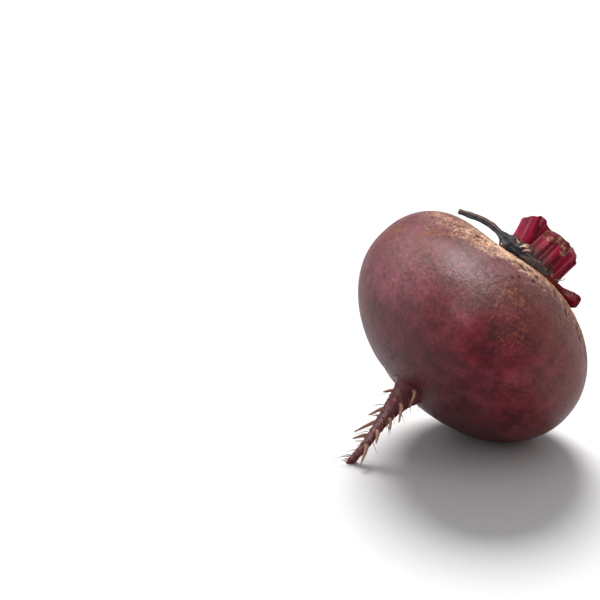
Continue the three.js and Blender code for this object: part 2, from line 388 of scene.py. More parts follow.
def new_geometry_tree(
    name: str, sockets: dict[str, str]
) -> tuple[Tree, bpy.types.Node, Callable[[Source], None]]:
    """Starts a geometry node tree.

    Args:
        name: The tree's name.
        sockets: Kinds of its inputs, by name.

    Returns:
        The tree, its input node, and a function that ends it in realised instances and the material.
    """
    tree = bpy.data.node_groups.new(name, "GeometryNodeTree")
    tree.interface.new_socket("Geometry", in_out="INPUT", socket_type="NodeSocketGeometry")
    tree.interface.new_socket("Geometry", in_out="OUTPUT", socket_type="NodeSocketGeometry")
    for socket, kind in {**sockets, "Finish": "Material"}.items():
        tree.interface.new_socket(socket, in_out="INPUT", socket_type="NodeSocket" + kind)
    given = tree.nodes.new("NodeGroupInput")

    def end(made: Source) -> None:
        """Ends the tree in realised instances and the material.

        Args:
            made: The geometry that the tree has made.
        """
        smooth = add_node(tree, "GeometryNodeSetShadeSmooth", {"Geometry": made})
        real = add_node(tree, "GeometryNodeRealizeInstances", {"Geometry": smooth})
        set_finish = {"Geometry": real, "Material": given.outputs["Finish"]}
        finished = add_node(tree, "GeometryNodeSetMaterial", set_finish)
        add_node(tree, "NodeGroupOutput", {"Geometry": finished})

    return tree, given, end


def grow(start: Thing, tree: Tree, values: dict[str, object]) -> Thing:
    """Runs a geometry tree on an object and keeps the result as its plain mesh.

    Args:
        start: What the tree works from.
        tree: The geometry tree.
        values: Values of the tree's inputs, by name.

    Returns:
        The same object, with its new mesh and no modifier.
    """
    modifier = start.modifiers.new(tree.name, "NODES")
    modifier.node_group = tree
    for item in tree.interface.items_tree:
        if item.item_type == "SOCKET" and item.in_out == "INPUT" and item.name in values:
            modifier[item.identifier] = values[item.name]
    depsgraph = bpy.context.evaluated_depsgraph_get()
    depsgraph.update()
    grown = bpy.data.meshes.new_from_object(start.evaluated_get(depsgraph), depsgraph=depsgraph)
    start.modifiers.remove(modifier)
    start.data = grown
    grown.name = start.name
    return start


def relief_tree() -> Tree:
    """Raises the root's skin: corky grain, rings of leaf scars, pits and the tail's wrinkles.

    Returns:
        The tree. It reads the vertex values own, cork, scar, tail, pit and groove.
    """
    sizes = ["Cork Height", "Cork Grain", "Ring Height", "Ring Spacing", "Pit Depth", "Pit Spacing"]
    sizes += ["Pore Depth", "Wrinkle Height", "Wrinkle Spacing", "Groove Depth"]
    tree, given, end = new_geometry_tree("skin_relief", dict.fromkeys(sizes, "Float"))
    add = partial(add_node, tree)
    size = given.outputs
    read = {
        key: add("GeometryNodeInputNamedAttribute", {"Name": key}, data_type="FLOAT")
        for key in ("cork", "scar", "tail", "pit", "groove")
    }
    own = add("GeometryNodeInputNamedAttribute", {"Name": "own"}, data_type="FLOAT_VECTOR")
    place = add("ShaderNodeSeparateXYZ", {"Vector": own})
    grain_scale = add("ShaderNodeMath", {0: 1.0, 1: size["Cork Grain"]}, operation="DIVIDE")
    grained = {"Vector": own, "Scale": grain_scale, "Detail": 4.0, "Roughness": 0.65}
    grain = add("ShaderNodeTexNoise", grained)
    centred = add("ShaderNodeMath", {0: grain, 1: 0.5}, operation="SUBTRACT")
    rough = add("ShaderNodeMath", {0: read["cork"], 1: LEAST_GRAIN}, operation="ADD")

    from_axis = add("ShaderNodeCombineXYZ", {"X": place.outputs["X"], "Y": place.outputs["Y"]})
    radius = add("ShaderNodeVectorMath", {0: from_axis}, operation="LENGTH").outputs["Value"]
    waves = {}
    for key, along, spacing, noise_scale, detail, stray in (
        ("rings", radius, "Ring Spacing", 0.09, 2.0, RING_STRAY),
        ("folds", place.outputs["Z"], "Wrinkle Spacing", 0.22, 3.0, FOLD_STRAY),
    ):
        waver = add("ShaderNodeTexNoise", {"Vector": own, "Scale": noise_scale, "Detail": detail})
        strayed = add("ShaderNodeMath", {0: waver, 1: stray, 2: along}, operation="MULTIPLY_ADD")
        turns = add("ShaderNodeMath", {0: strayed, 1: size[spacing]}, operation="DIVIDE")
        angle = add("ShaderNodeMath", {0: turns, 1: TURN}, operation="MULTIPLY")
        waves[key] = add("ShaderNodeMath", {0: angle}, operation="SINE")

    pit_scale = add("ShaderNodeMath", {0: 1.0, 1: size["Pit Spacing"]}, operation="DIVIDE")
    cells = add("ShaderNodeTexVoronoi", {"Vector": own, "Scale": pit_scale})
    pore_edge = {0: cells, 1: 0.06, 2: 0.2, 3: 1.0, 4: 0.0}
    pores = add("ShaderNodeMapRange", pore_edge, interpolation_type="SMOOTHSTEP")
    pits = add("ShaderNodeMath", {0: read["pit"], 1: PIT_STEEPNESS}, operation="POWER")

    raised: Source | float = 0.0
    for form, where, height, way in (
        (centred, rough, size["Cork Height"], "ADD"),
        (waves["rings"], read["scar"], size["Ring Height"], "ADD"),
        (waves["folds"], read["tail"], size["Wrinkle Height"], "ADD"),
        (pits, 1.0, size["Pit Depth"], "SUBTRACT"),
        (pores, read["cork"], size["Pore Depth"], "SUBTRACT"),
        (read["groove"], 1.0, size["Groove Depth"], "SUBTRACT"),
    ):
        part = add("ShaderNodeMath", {0: form, 1: where}, operation="MULTIPLY")
        part = add("ShaderNodeMath", {0: part, 1: height}, operation="MULTIPLY")
        raised = add("ShaderNodeMath", {0: raised, 1: part}, operation=way)
    metres = add("ShaderNodeMath", {0: raised, 1: MM}, operation="MULTIPLY")
    normal = add("GeometryNodeInputNormal")
    offset = add("ShaderNodeVectorMath", {0: normal, "Scale": metres}, operation="SCALE")
    end(add("GeometryNodeSetPosition", {"Geometry": size["Geometry"], "Offset": offset}))
    return tree


def strand_tree() -> Tree:
    """Sweeps a ribbed strand along every chain of edges, as wide as the chain's own values say.

    Returns:
        The tree. It leaves the values along, in metres, and around, from 0 to 1, on the strand.
    """
    sizes = ["Half Width", "Half Thickness", "Ribs", "Rib Depth", "Shrivel", "Shrivel Size", "Seed"]
    sockets = {**dict.fromkeys(sizes, "Float"), "Sides": "Int"}
    tree, given, end = new_geometry_tree("strand_along_path", sockets)
    add = partial(add_node, tree)
    size = given.outputs
    width = add("GeometryNodeInputNamedAttribute", {"Name": "width"}, data_type="FLOAT")
    chain = add("GeometryNodeMeshToCurve", {"Mesh": size["Geometry"]})
    walked = add("GeometryNodeSplineParameter").outputs["Length"]
    keep = {"Geometry": chain, "Name": "along", "Value": walked}
    chain = add("GeometryNodeStoreNamedAttribute", keep, data_type="FLOAT", domain="POINT")

    circle = add("GeometryNodeCurvePrimitiveCircle", {"Resolution": size["Sides"], "Radius": 1.0})
    share = add("GeometryNodeSplineParameter").outputs["Factor"]
    keep = {"Geometry": circle, "Name": "around", "Value": share}
    circle = add("GeometryNodeStoreNamedAttribute", keep, data_type="FLOAT", domain="POINT")
    angle = add("ShaderNodeMath", {0: share, 1: TURN}, operation="MULTIPLY")
    ribs = add("ShaderNodeMath", {0: angle, 1: size["Ribs"]}, operation="MULTIPLY")
    ribs = add("ShaderNodeMath", {0: ribs}, operation="COSINE")
    ribbed = add("ShaderNodeMath", {0: ribs, 1: size["Rib Depth"], 2: 1.0}, operation="MULTIPLY_ADD")
    section = {}
    for axis, wave, half in (("X", "COSINE", "Half Width"), ("Y", "SINE", "Half Thickness")):
        reach = add("ShaderNodeMath", {0: angle}, operation=wave)
        section[axis] = add("ShaderNodeMath", {0: reach, 1: size[half]}, operation="MULTIPLY")
    section = add("ShaderNodeCombineXYZ", section)
    section = add("ShaderNodeVectorMath", {0: section, "Scale": ribbed}, operation="SCALE")
    circle = add("GeometryNodeSetPosition", {"Geometry": circle, "Position": section})
    sweep = {"Curve": chain, "Profile Curve": circle, "Scale": width, "Fill Caps": True}
    swept = add("GeometryNodeCurveToMesh", sweep)

    crease_scale = add("ShaderNodeMath", {0: 1.0, 1: size["Shrivel Size"]}, operation="DIVIDE")
    settings = {"W": size["Seed"], "Scale": crease_scale, "Detail": 3.0}
    crease = add("ShaderNodeTexNoise", settings, noise_dimensions="4D")
    crease = add("ShaderNodeMath", {0: crease, 1: 0.5}, operation="SUBTRACT")
    for factor in (size["Shrivel"], width):
        crease = add("ShaderNodeMath", {0: crease, 1: factor}, operation="MULTIPLY")
    normal = add("GeometryNodeInputNormal")
    offset = add("ShaderNodeVectorMath", {0: normal, "Scale": crease}, operation="SCALE")
    end(add("GeometryNodeSetPosition", {"Geometry": swept, "Offset": offset}))
    return tree


def placed_tree() -> Tree:
    """Sets a copy of one small piece at every point, turned and sized by the point's own values.

    Returns:
        The tree. It reads the point values turn, as Euler angles, and size, one number for each axis.
    """
    sockets = {"Piece": "Object", "Size Spread": "Float", "Seed": "Int"}
    tree, given, end = new_geometry_tree("pieces_at_points", sockets)
    add = partial(add_node, tree)
    piece = add("GeometryNodeObjectInfo", {"Object": given.outputs["Piece"]}).outputs["Geometry"]
    turn, size = (
        add("GeometryNodeInputNamedAttribute", {"Name": key}, data_type="FLOAT_VECTOR")
        for key in ("turn", "size")
    )
    least, most = (
        add("ShaderNodeMath", {0: 1.0, 1: given.outputs["Size Spread"]}, operation=way)
        for way in ("SUBTRACT", "ADD")
    )
    spread = {2: least, 3: most, "Seed": given.outputs["Seed"]}
    factor = add("FunctionNodeRandomValue", spread, data_type="FLOAT").outputs[1]
    size = add("ShaderNodeVectorMath", {0: size, "Scale": factor}, operation="SCALE")
    points = add("GeometryNodeMeshToPoints", {"Mesh": given.outputs["Geometry"]})
    stand = {"Points": points, "Instance": piece, "Rotation": turn, "Scale": size}
    end(add("GeometryNodeInstanceOnPoints", stand))
    return tree


def fleck_tree() -> Tree:
    """Scatters flecks of loose cork over a surface, thickest where its cork value is high.

    Returns:
        The tree.
    """
    sockets = dict.fromkeys(("Flecks Per Area", "Least", "Most"), "Float")
    tree, given, end = new_geometry_tree("cork_flecks", sockets | {"Piece": "Object", "Seed": "Int"})
    add = partial(add_node, tree)
    piece = add("GeometryNodeObjectInfo", {"Object": given.outputs["Piece"]}).outputs["Geometry"]
    seed = given.outputs["Seed"]
    cork = add("GeometryNodeInputNamedAttribute", {"Name": "fleck"}, data_type="FLOAT")
    density = {0: cork, 1: given.outputs["Flecks Per Area"]}
    density = add("ShaderNodeMath", density, operation="MULTIPLY")
    scatter = {"Mesh": given.outputs["Geometry"], "Density": density, "Seed": seed}
    points = add("GeometryNodeDistributePointsOnFaces", scatter)
    size, spin = (
        add("FunctionNodeRandomValue", {2: least, 3: most, "Seed": seed}, data_type="FLOAT").outputs[1]
        for least, most in ((given.outputs["Least"], given.outputs["Most"]), (0.0, TURN))
    )
    spin = add("ShaderNodeCombineXYZ", {"Z": spin})
    rotation = {"Rotation": points.outputs["Rotation"], "Rotate By": spin}
    turned = add("FunctionNodeRotateRotation", rotation, rotation_space="LOCAL")
    stand = {"Points": points, "Instance": piece, "Rotation": turned, "Scale": size}
    end(add("GeometryNodeInstanceOnPoints", stand))
    return tree


# Finishes


def new_material(name: str) -> tuple[Material, Tree, bpy.types.Node]:
    """Starts a node material.

    Args:
        name: The material's name.

    Returns:
        The material, its tree and its shader.
    """
    material = bpy.data.materials.new(name)
    material.use_nodes = True
    return material, material.node_tree, material.node_tree.nodes["Principled BSDF"]


def set_stops(ramp: bpy.types.Node, stops: Sequence[tuple[float, str]]) -> None:
    """Sets a colour ramp's stops.

    Args:
        ramp: The colour ramp node.
        stops: Places from 0 to 1 and their sRGB colours, in order.
    """
    elements = ramp.color_ramp.elements
    while len(elements) > 1:
        elements.remove(elements[-1])
    elements[0].position, elements[0].color = stops[0][0], linear(stops[0][1])
    for place, colour in stops[1:]:
        elements.new(place).color = linear(colour)


def ranged(source: Source, run: Run) -> dict[int, object]:
    """Inputs that turn a source's run from its first to its second number into the third to the fourth."""
    return {0: source} | dict(enumerate(run, start=1))


def weighted(tree: Tree, sources: Sequence[Source], weights: Sequence[float]) -> Source:
    """Adds up sources, each times its own weight.

    Args:
        tree: The finish's tree.
        sources: What is added up.
        weights: A weight for each.

    Returns:
        The sum.
    """
    total: Source | float = 0.0
    for source, weight in zip(sources, weights, strict=True):
        total = add_node(tree, "ShaderNodeMath", {0: source, 1: weight, 2: total}, operation="MULTIPLY_ADD")
    return total


def layered(
    tree: Tree, base: Source | str, layers: Sequence[tuple[Source, Source | str]]
) -> Source:
    """Lays colours over one another.

    Args:
        tree: The finish's tree.
        base: The lowest colour, as a source or an sRGB one.
        layers: How much of each next colour covers, and that colour, in order.

    Returns:
        The colour that is seen.
    """
    for amount, cover in layers:
        low, high = (linear(tone) if isinstance(tone, str) else tone for tone in (base, cover))
        base = add_node(tree, "ShaderNodeMix", {0: amount, 6: low, 7: high}, data_type="RGBA")
    return base


def surface(
    tree: Tree,
    shader: bpy.types.Node,
    colour: Source,
    rough: Source,
    height: Source,
    relief: Pair,
) -> None:
    """Links a finish to its shader.

    Args:
        tree: The finish's tree.
        shader: Its shader.
        colour: Its colour.
        rough: Its roughness.
        height: The height of its fine relief, about 0 to 1.
        relief: What a height of 1 is in metres, and how strongly the relief shows.
    """
    shaped = {"Height": height, "Distance": relief[0], "Strength": relief[1]}
    bump = add_node(tree, "ShaderNodeBump", shaped)
    for socket, source in (("Base Color", colour), ("Roughness", rough), ("Normal", bump)):
        tree.links.new(result_of(source), shader.inputs[socket])


@dataclass(frozen=True)
class RootSkin:
    """Beet skin: a thin satin rind, with dry tan cork towards the crown and soil-brown stains.

    The rind gives broad soft highlights over wine-purple mottling, and its pale bloom on the near shoulder is
    partly a painted sheen. The cork is matt and gritty. Its pores and specks are a little coarser than real
    ones, so that they show in a picture.
    """

    name: str = "beet_skin"
    mauve: str = "#6e323f"
    umber: str = "#42191f"
    shade: str = "#351617"
    wine: str = "#600e20"
    deep_wine: str = "#2e070f"
    # The pale bloom is a dusty film, and on the near shoulder also a painted sheen.
    bloom: str = "#8c7072"
    dust: str = "#563932"
    cork_pale: str = "#ceac90"
    cork: str = "#8e6853"
    cork_dark: str = "#4f332a"
    rust_pale: str = "#84533a"
    rust: str = "#5a2f24"
    soil: str = "#33201f"
    pit: str = "#24120d"
    mottle_size: float = 7.0
    patch_size: float = 3.4
    fine_size: float = 1.5
    grain_size: float = 0.9
    line_size: float = 1 / 1.1
    line_stretch: Triple = (0.12, 1.0, 1.0)
    thread_size: float = 1.6
    pore_size: float = 1.7
    speck_size: float = 1.1
    tone_weights: Triple = (1.3, 0.55, 0.25)
    rust_weights: Run = (1.0, 0.8, 0.7, 0.45)
    cork_weights: Pair = (0.4, 0.6)
    relief_weights: Run = (1.0, 0.35, 1.6, -0.5)
    tone_run: Run = (0.86, 1.24, 0.0, 1.0)
    patchy_run: Run = (0.35, 0.65, 0.45, 1.0)
    thread_run: Run = (0.0, 0.06, 0.22, 0.0)
    rusty_run: Run = (1.04, 1.36, 0.0, 0.75)
    warm_run: Run = (0.4, 0.62, 0.0, 1.0)
    crumbly_run: Run = (0.0, 0.2, 0.8, 3.6)
    corky_run: Run = (0.1, 0.95, 0.0, 1.0)
    pore_run: Run = (0.12, 0.27, 0.75, 0.0)
    speck_run: Run = (0.05, 0.2, 0.42, 0.0)
    speckled_run: Run = (0.46, 0.6, 0.0, 1.0)
    dimmed_run: Run = (0.4, 0.3, 0.0, 0.4)
    scored_run: Run = (0.56, 0.7, 0.0, 0.38)
    pitted_run: Run = (1.02, 1.16, 0.0, 0.92)
    scratches: tuple[tuple[Spot, Spot], ...] = (
        (Spot(229, 45.4, 2.4), Spot(232, 43, 10)),
        (Spot(228, 45.5, 0.8), Spot(231, 44.8, 5.6)),
        (Spot(226.5, 45.3, 3.4), Spot(229.5, 44.4, 7.6)),
    )
    scratch_width: float = 0.32
    scratch_stray: float = 1.6
    satin: float = 0.38
    matt: float = 0.8
    reflectance: float = 0.15
    relief: Pair = (0.00028, 0.9)

    def build(self) -> Material:
        """Makes the material. It reads the vertex values that SwollenRoot keeps.

        Returns:
            The material.
        """
        material, tree, shader = new_material(self.name)
        add = partial(add_node, tree)
        own, lie = (
            add("ShaderNodeAttribute", attribute_name=key).outputs["Vector"] for key in ("own", "lie")
        )
        read = {
            key: add("ShaderNodeAttribute", attribute_name=key).outputs["Fac"]
            for key in ("cork", "pale", "rust", "wine", "bloom", "dust", "soil", "pit")
        }
        rich = {"Vector": own, "Detail": 6.0, "Roughness": 0.66}
        mottle, patch, fine, grain = (
            add("ShaderNodeTexNoise", rich | {"Scale": 1 / size})
            for size in (self.mottle_size, self.patch_size, self.fine_size, self.grain_size)
        )
        stretched = add("ShaderNodeVectorMath", {0: lie, 1: self.line_stretch}, operation="MULTIPLY")
        lined = {"Vector": stretched, "Scale": 1 / self.line_size, "Detail": 4.0, "Roughness": 0.7}
        lines = add("ShaderNodeTexNoise", lined)
        wander = {"Vector": own, "Scale": 1 / self.thread_size, "Detail": 3.0, "Distortion": 0.8}
        thread = add("ShaderNodeTexNoise", wander)
        thread = add("ShaderNodeMath", {0: thread, 1: 0.5}, operation="SUBTRACT")
        thread = add("ShaderNodeMath", {0: thread}, operation="ABSOLUTE")
        thread = add("ShaderNodeMapRange", ranged(thread, self.thread_run))
        pores, specks = (
            add("ShaderNodeTexVoronoi", {"Vector": own, "Scale": 1 / size})
            for size in (self.pore_size, self.speck_size)
        )

        sandy = weighted(tree, (patch, grain), self.cork_weights)
        bleached = weighted(tree, (sandy, read["pale"]), (1.0, 0.15))
        cork = add("ShaderNodeValToRGB", {"Fac": bleached})
        set_stops(cork, [(0.43, self.cork_dark), (0.55, self.cork), (0.68, self.cork_pale)])
        crumbly = add("ShaderNodeMapRange", ranged(read["cork"], self.crumbly_run))
        torn = add("ShaderNodeMath", {0: sandy, 1: 0.5}, operation="SUBTRACT")
        torn = add("ShaderNodeMath", {0: torn, 1: crumbly, 2: read["cork"]}, operation="MULTIPLY_ADD")
        scratched = self.scratched(tree, own, fine)
        toned, patchy, rusty, warm, corky, pore, speck, speckled, dimmed, scored, pitted = (
            add("ShaderNodeMapRange", ranged(source, run))
            for source, run in (
                (weighted(tree, (mottle, fine, lines), self.tone_weights), self.tone_run),
                (fine, self.patchy_run),
                (weighted(tree, (thread, grain, fine, read["rust"]), self.rust_weights), self.rusty_run),
                (grain, self.warm_run),
                (torn, self.corky_run),
                (pores, self.pore_run),
                (specks, self.speck_run),
                (mottle, self.speckled_run),
                (grain, self.dimmed_run),
                (lines, self.scored_run),
                (weighted(tree, (read["pit"], fine), (1.0, 0.9)), self.pitted_run),
            )
        )
        dusty, bloom_and_sheen_share, soiled, under, porous, specked, scratch_shade = (
            add("ShaderNodeMath", {0: mark, 1: share}, operation="MULTIPLY")
            for mark, share in (
                (read["dust"], patchy),
                (read["bloom"], patchy),
                (read["soil"], patchy),
                (read["rust"], 0.8),
                (pore, corky),
                (speck, speckled),
                (scratched, 0.6),
            )
        )
        layers = [
            (toned, self.mauve),
            (read["wine"], layered(tree, self.deep_wine, [(toned, self.wine)])),
            (dusty, self.dust),
            # Pale bloom, partly a painted sheen on the shoulder.
            (bloom_and_sheen_share, self.bloom),
            (soiled, self.soil),
            (under, self.shade),
            (rusty, layered(tree, self.rust, [(warm, self.rust_pale)])),
            (corky, cork),
            (porous, self.cork_dark),
            (specked, self.cork),
            (dimmed, self.soil),
            (scored, self.soil),
            (scratch_shade, self.soil),
            (pitted, self.pit),
        ]

        rough = add("ShaderNodeMapRange", ranged(corky, (0.0, 1.0, self.satin, self.matt)))
        rough = weighted(tree, (rough, grain), (1.0, 0.22))
        rough = add("ShaderNodeMath", {0: rough, 1: 0.1}, operation="SUBTRACT")
        lift = add("ShaderNodeMath", {0: corky, 1: 1.4, 2: 0.4}, operation="MULTIPLY_ADD")
        gritty = add("ShaderNodeMath", {0: grain, 1: lift}, operation="MULTIPLY")
        height = weighted(tree, (gritty, lines, patch, scratched), self.relief_weights)
        surface(tree, shader, layered(tree, self.umber, layers), rough, height, self.relief)
        shader.inputs["IOR"].default_value = 1.4
        shader.inputs["Specular IOR Level"].default_value = self.reflectance
        return material

    def scratched(self, tree: Tree, own: Source, waver: Source) -> Source:
        """Adds the thin dry scratches.

        Args:
            tree: The skin's tree.
            own: Places in the root's own axes.
            waver: Noise that lets a scratch stray a little.

        Returns:
            How much of a scratch each place is, from 0 to 1.
        """
        add = partial(add_node, tree)
        total: Source | float = 0.0
        for start, end in self.scratches:
            middle = (start.point() + end.point()) / 2
            ahead = end.point() - start.point()
            half = float(np.linalg.norm(ahead)) / 2
            side = unit(np.cross(middle, ahead))
            away = add("ShaderNodeVectorMath", {0: own, 1: tuple(middle)}, operation="SUBTRACT")
            off = add("ShaderNodeVectorMath", {0: away, 1: tuple(side)}, operation="DOT_PRODUCT")
            off = off.outputs["Value"]
            off = add("ShaderNodeMath", {0: waver, 1: self.scratch_stray, 2: off}, operation="MULTIPLY_ADD")
            off = add("ShaderNodeMath", {0: off, 1: self.scratch_stray / 2}, operation="SUBTRACT")
            off = add("ShaderNodeMath", {0: off}, operation="ABSOLUTE")
            thin = add("ShaderNodeMapRange", ranged(off, (0.0, self.scratch_width, 1.0, 0.0)))
            distance = add("ShaderNodeVectorMath", {0: away}, operation="LENGTH").outputs["Value"]
            near = add("ShaderNodeMapRange", ranged(distance, (0.5 * half, half, 1.0, 0.0)))
            thin = add("ShaderNodeMath", {0: thin, 1: near}, operation="MULTIPLY")
            total = add("ShaderNodeMath", {0: thin, 1: total}, operation="MAXIMUM")
        return total


@dataclass(frozen=True)
class FreshStalk:
    """Beet leaf stalk: juicy crimson ribs with a waxy gloss, dried brown where it was cut long ago.

    Light goes a little way in. The ribs are painted pink as a painted highlight, and the channels between
    them dark wine as painted shade.
    """

    name: str = "fresh_leaf_stalk"
    # channel is painted shade between the ribs, and rib a painted highlight on them that also colours the
    # pale margins.
    channel: str = "#2b060d"
    flesh: str = "#520716"
    bright: str = "#780b28"
    rib: str = "#802440"
    dried: str = "#50261e"
    dried_pale: str = "#8d6c5e"
    foot: str = "#33201d"
    streak_width: float = 0.75
    streak_length: float = 11.0
    blotch_size: float = 2.4
    tone_weights: Triple = (0.55, 1.5, 1.2)
    tone_run: Run = (1.05, 2.15, 0.0, 1.0)
    dry_run: Run = (0.42, 0.7, 0.0, 1.0)
    foot_run: Run = (0.45, 1.15, 0.0, 0.9)
    gloss: float = 0.42
    dry_roughness: float = 0.75
    reflectance: float = 0.05
    relief: Pair = (0.00018, 0.8)
    glow: float = 0.08
    glow_reach: Triple = (0.0012, 0.0003, 0.0004)

    def build(self) -> Material:
        """Makes the material. It reads the vertex values grain, rib, dry, foot and pale.

        Returns:
            The material.
        """
        material, tree, shader = new_material(self.name)
        add = partial(add_node, tree)
        grain = add("ShaderNodeAttribute", attribute_name="grain").outputs["Vector"]
        read = {
            key: add("ShaderNodeAttribute", attribute_name=key).outputs["Fac"]
            for key in ("rib", "dry", "foot", "pale")
        }
        scale = (1 / self.streak_width, 1 / self.streak_length, 1.0)
        lie = add("ShaderNodeVectorMath", {0: grain, 1: scale}, operation="MULTIPLY")
        streak = add("ShaderNodeTexNoise", {"Vector": lie, "Scale": 1.0, "Detail": 4.0, "Roughness": 0.6})
        wide = add("ShaderNodeTexNoise", {"Vector": lie, "Scale": 0.35, "Detail": 2.0})
        # The rib value paints the raised ribs light and the channels between them dark, as painted highlight
        # and painted shade.
        tone = weighted(tree, (read["rib"], wide, streak), self.tone_weights)
        tone = add("ShaderNodeMapRange", ranged(tone, self.tone_run))
        fresh = add("ShaderNodeValToRGB", {"Fac": tone})
        set_stops(fresh, [(0.08, self.channel), (0.4, self.flesh), (0.68, self.bright), (0.95, self.rib)])
        place = add("ShaderNodeTexCoord").outputs["Object"]
        blotched = {"Vector": place, "Scale": 1 / MM / self.blotch_size, "Detail": 5.0, "Roughness": 0.66}
        blotch = add("ShaderNodeTexNoise", blotched)
        brown = add("ShaderNodeValToRGB", {"Fac": blotch})
        set_stops(brown, [(0.38, self.foot), (0.5, self.dried), (0.64, self.dried_pale)])
        torn = add("ShaderNodeMath", {0: blotch, 1: 0.5}, operation="SUBTRACT")
        torn = weighted(tree, (read["dry"], torn), (1.0, 2.6))
        dry = add("ShaderNodeMapRange", ranged(torn, self.dry_run))
        footed = weighted(tree, (read["foot"], blotch), (1.0, 0.5))
        footed = add("ShaderNodeMapRange", ranged(footed, self.foot_run))
        colour = layered(tree, fresh, [(read["pale"], self.rib), (dry, brown), (footed, self.foot)])
        rough = add("ShaderNodeMapRange", ranged(dry, (0.0, 1.0, self.gloss, self.dry_roughness)))
        rough = weighted(tree, (rough, streak), (1.0, 0.2))
        surface(tree, shader, colour, rough, weighted(tree, (streak, blotch), (1.0, 0.4)), self.relief)
        shader.inputs["IOR"].default_value = 1.4
        shader.inputs["Specular IOR Level"].default_value = self.reflectance
        shader.inputs["Subsurface Weight"].default_value = self.glow
        shader.inputs["Subsurface Radius"].default_value = self.glow_reach
        return material


@dataclass(frozen=True)
class DriedTissue:
    """Dead stalk or leaf tissue: shrunken, streaked along its length, matt with a few waxy ridges."""

    name: str
    dark: str
    body: str
    edge: str
    accent: str
    accent_share: float = 0.62
    streak_width: float = 0.5
    streak_length: float = 5.0
    roughness: float = 0.62
    relief: Pair = (0.00025, 0.9)
    reflectance: float = 0.12
    along_strand: bool = True

    def build(self) -> Material:
        """Makes the material, streaked along the strand that it is on where it is on one.

        Returns:
            The material.
        """
        material, tree, shader = new_material(self.name)
        add = partial(add_node, tree)
        place = add("ShaderNodeTexCoord").outputs["Object"]
        place = add("ShaderNodeVectorMath", {0: place, "Scale": 1 / MM}, operation="SCALE")
        along, around, tinted = (
            add("ShaderNodeAttribute", attribute_name=key).outputs["Fac"]
            for key in ("along", "around", "tint")
        )
        if self.along_strand:
            turn = add("ShaderNodeMath", {0: around, 1: TURN}, operation="MULTIPLY")
            across = add("ShaderNodeMath", {0: turn}, operation="COSINE")
            out = add("ShaderNodeMath", {0: turn}, operation="SINE")
            walked = add("ShaderNodeMath", {0: along, 1: 1 / MM / self.streak_length}, operation="MULTIPLY")
            lie = add("ShaderNodeCombineXYZ", {"X": across, "Y": out, "Z": walked})
            lie = add("ShaderNodeVectorMath", {0: lie, 1: (2.0, 2.0, 1.0)}, operation="MULTIPLY")
        else:
            lie = add("ShaderNodeVectorMath", {0: place, "Scale": 1 / self.streak_length}, operation="SCALE")
        streak = add("ShaderNodeTexNoise", {"Vector": lie, "Scale": 1.3, "Detail": 5.0, "Roughness": 0.65})
        crumb = add("ShaderNodeTexNoise", {"Vector": place, "Scale": 1 / self.streak_width, "Detail": 4.0})
        blotch = add("ShaderNodeTexNoise", {"Vector": place, "Scale": 0.23, "Detail": 3.0})
        ramp = add("ShaderNodeValToRGB", {"Fac": streak})
        set_stops(ramp, [(0.36, self.dark), (0.52, self.body), (0.7, self.edge)])
        rare, ragged, grit = (
            add("ShaderNodeMapRange", ranged(source, run))
            for source, run in (
                (blotch, (self.accent_share, self.accent_share + 0.12, 0.0, 0.85)),
                (streak, (0.38, 0.6, 0.25, 1.0)),
                (crumb, (0.35, 0.6, 0.55, 0.0)),
            )
        )
        accent = {0: tinted, 1: ragged, 2: rare}
        accent = add("ShaderNodeMath", accent, operation="MULTIPLY_ADD", use_clamp=True)
        colour = layered(tree, ramp, [(accent, self.accent), (grit, self.dark)])
        rough = add("ShaderNodeMath", {0: crumb, 1: 0.3, 2: self.roughness - 0.15}, operation="MULTIPLY_ADD")
        surface(tree, shader, colour, rough, weighted(tree, (streak, crumb), (1.0, 0.6)), self.relief)
        shader.inputs["Specular IOR Level"].default_value = self.reflectance
        return material


# Stalk skin dried almost to charcoal: blue black, with a faint dull edge light. Its brown accent on the upper
# side is a painted highlight.
CHARRED = DriedTissue("charred_stalk_skin", "#121216", "#23252b", "#453d3a", "#6b4d3a", roughness=0.6)

# A red stalk shrunk to leather: blood red, with small wet looking ridges.
SHRIVELLED = DriedTissue(
    "shrivelled_red_stalk", "#2b0308", "#5c0711", "#860d17", "#45170e", roughness=0.42, reflectance=0.05
)

# An old leaf base turned to brown leather: matt tan with dark creases.
TANNED = DriedTissue(
    "tanned_leaf_base", "#3d281c", "#7d563a", "#a87c58", "#6a3d28", roughness=0.7, along_strand=False
)

# Leaf bases crumbled round the stalks: dull grey brown with a few ochre crumbs.
CRUMBLED = DriedTissue(
    "dry_leaf_base_tissue", "#1d1717", "#3d2f29", "#7a5b40", "#a06f48", roughness=0.85, along_strand=False
)

# A dry leaf base as thin as paper: pale and matt, with a little pink left in it.
PAPERY = DriedTissue(
    "papery_scale", "#8a6a52", "#cbb297", "#e6d6bd", "#b0616c", roughness=0.7, along_strand=False
)

# Cork that has come loose: matt tan chips that catch the light at their rims.
CORKY = DriedTissue(
    "loose_cork", "#5b3d2e", "#91705a", "#bd9f86", "#7c573f", roughness=0.88, along_strand=False
)

# Dry root hair: dull brown threads.
HAIRY = DriedTissue("root_hair", "#4b3128", "#7a5645", "#a98a6c", "#5f4034", roughness=0.8)

# A torn thread of stalk skin: nearly white, so that it stands out against the dark.
WHISKER = DriedTissue("pale_whisker", "#8d8a80", "#c9c6ba", "#e8e6de", "#b5b0a3", roughness=0.6)

# The ends of the veins in a cut stalk: dull pink dots.
STRAND = DriedTissue(
    "cut_strand", "#6e2638", "#9c4c60", "#c08a94", "#83364a", roughness=0.6, along_strand=False
)

# A dry leaf base that has kept its red: dusty rose with dark folds.
ROSY = DriedTissue(
    "rosy_scale", "#5e2c36", "#9a5f66", "#bd8c84", "#7c443e", roughness=0.7, along_strand=False
)


# The root


@dataclass(frozen=True)
class Patch:
    """A patch of colour on the skin, round a place given by its azimuth and its height above the girth."""

    azimuth: float
    height: float
    spread: float
    amount: float = 1.0


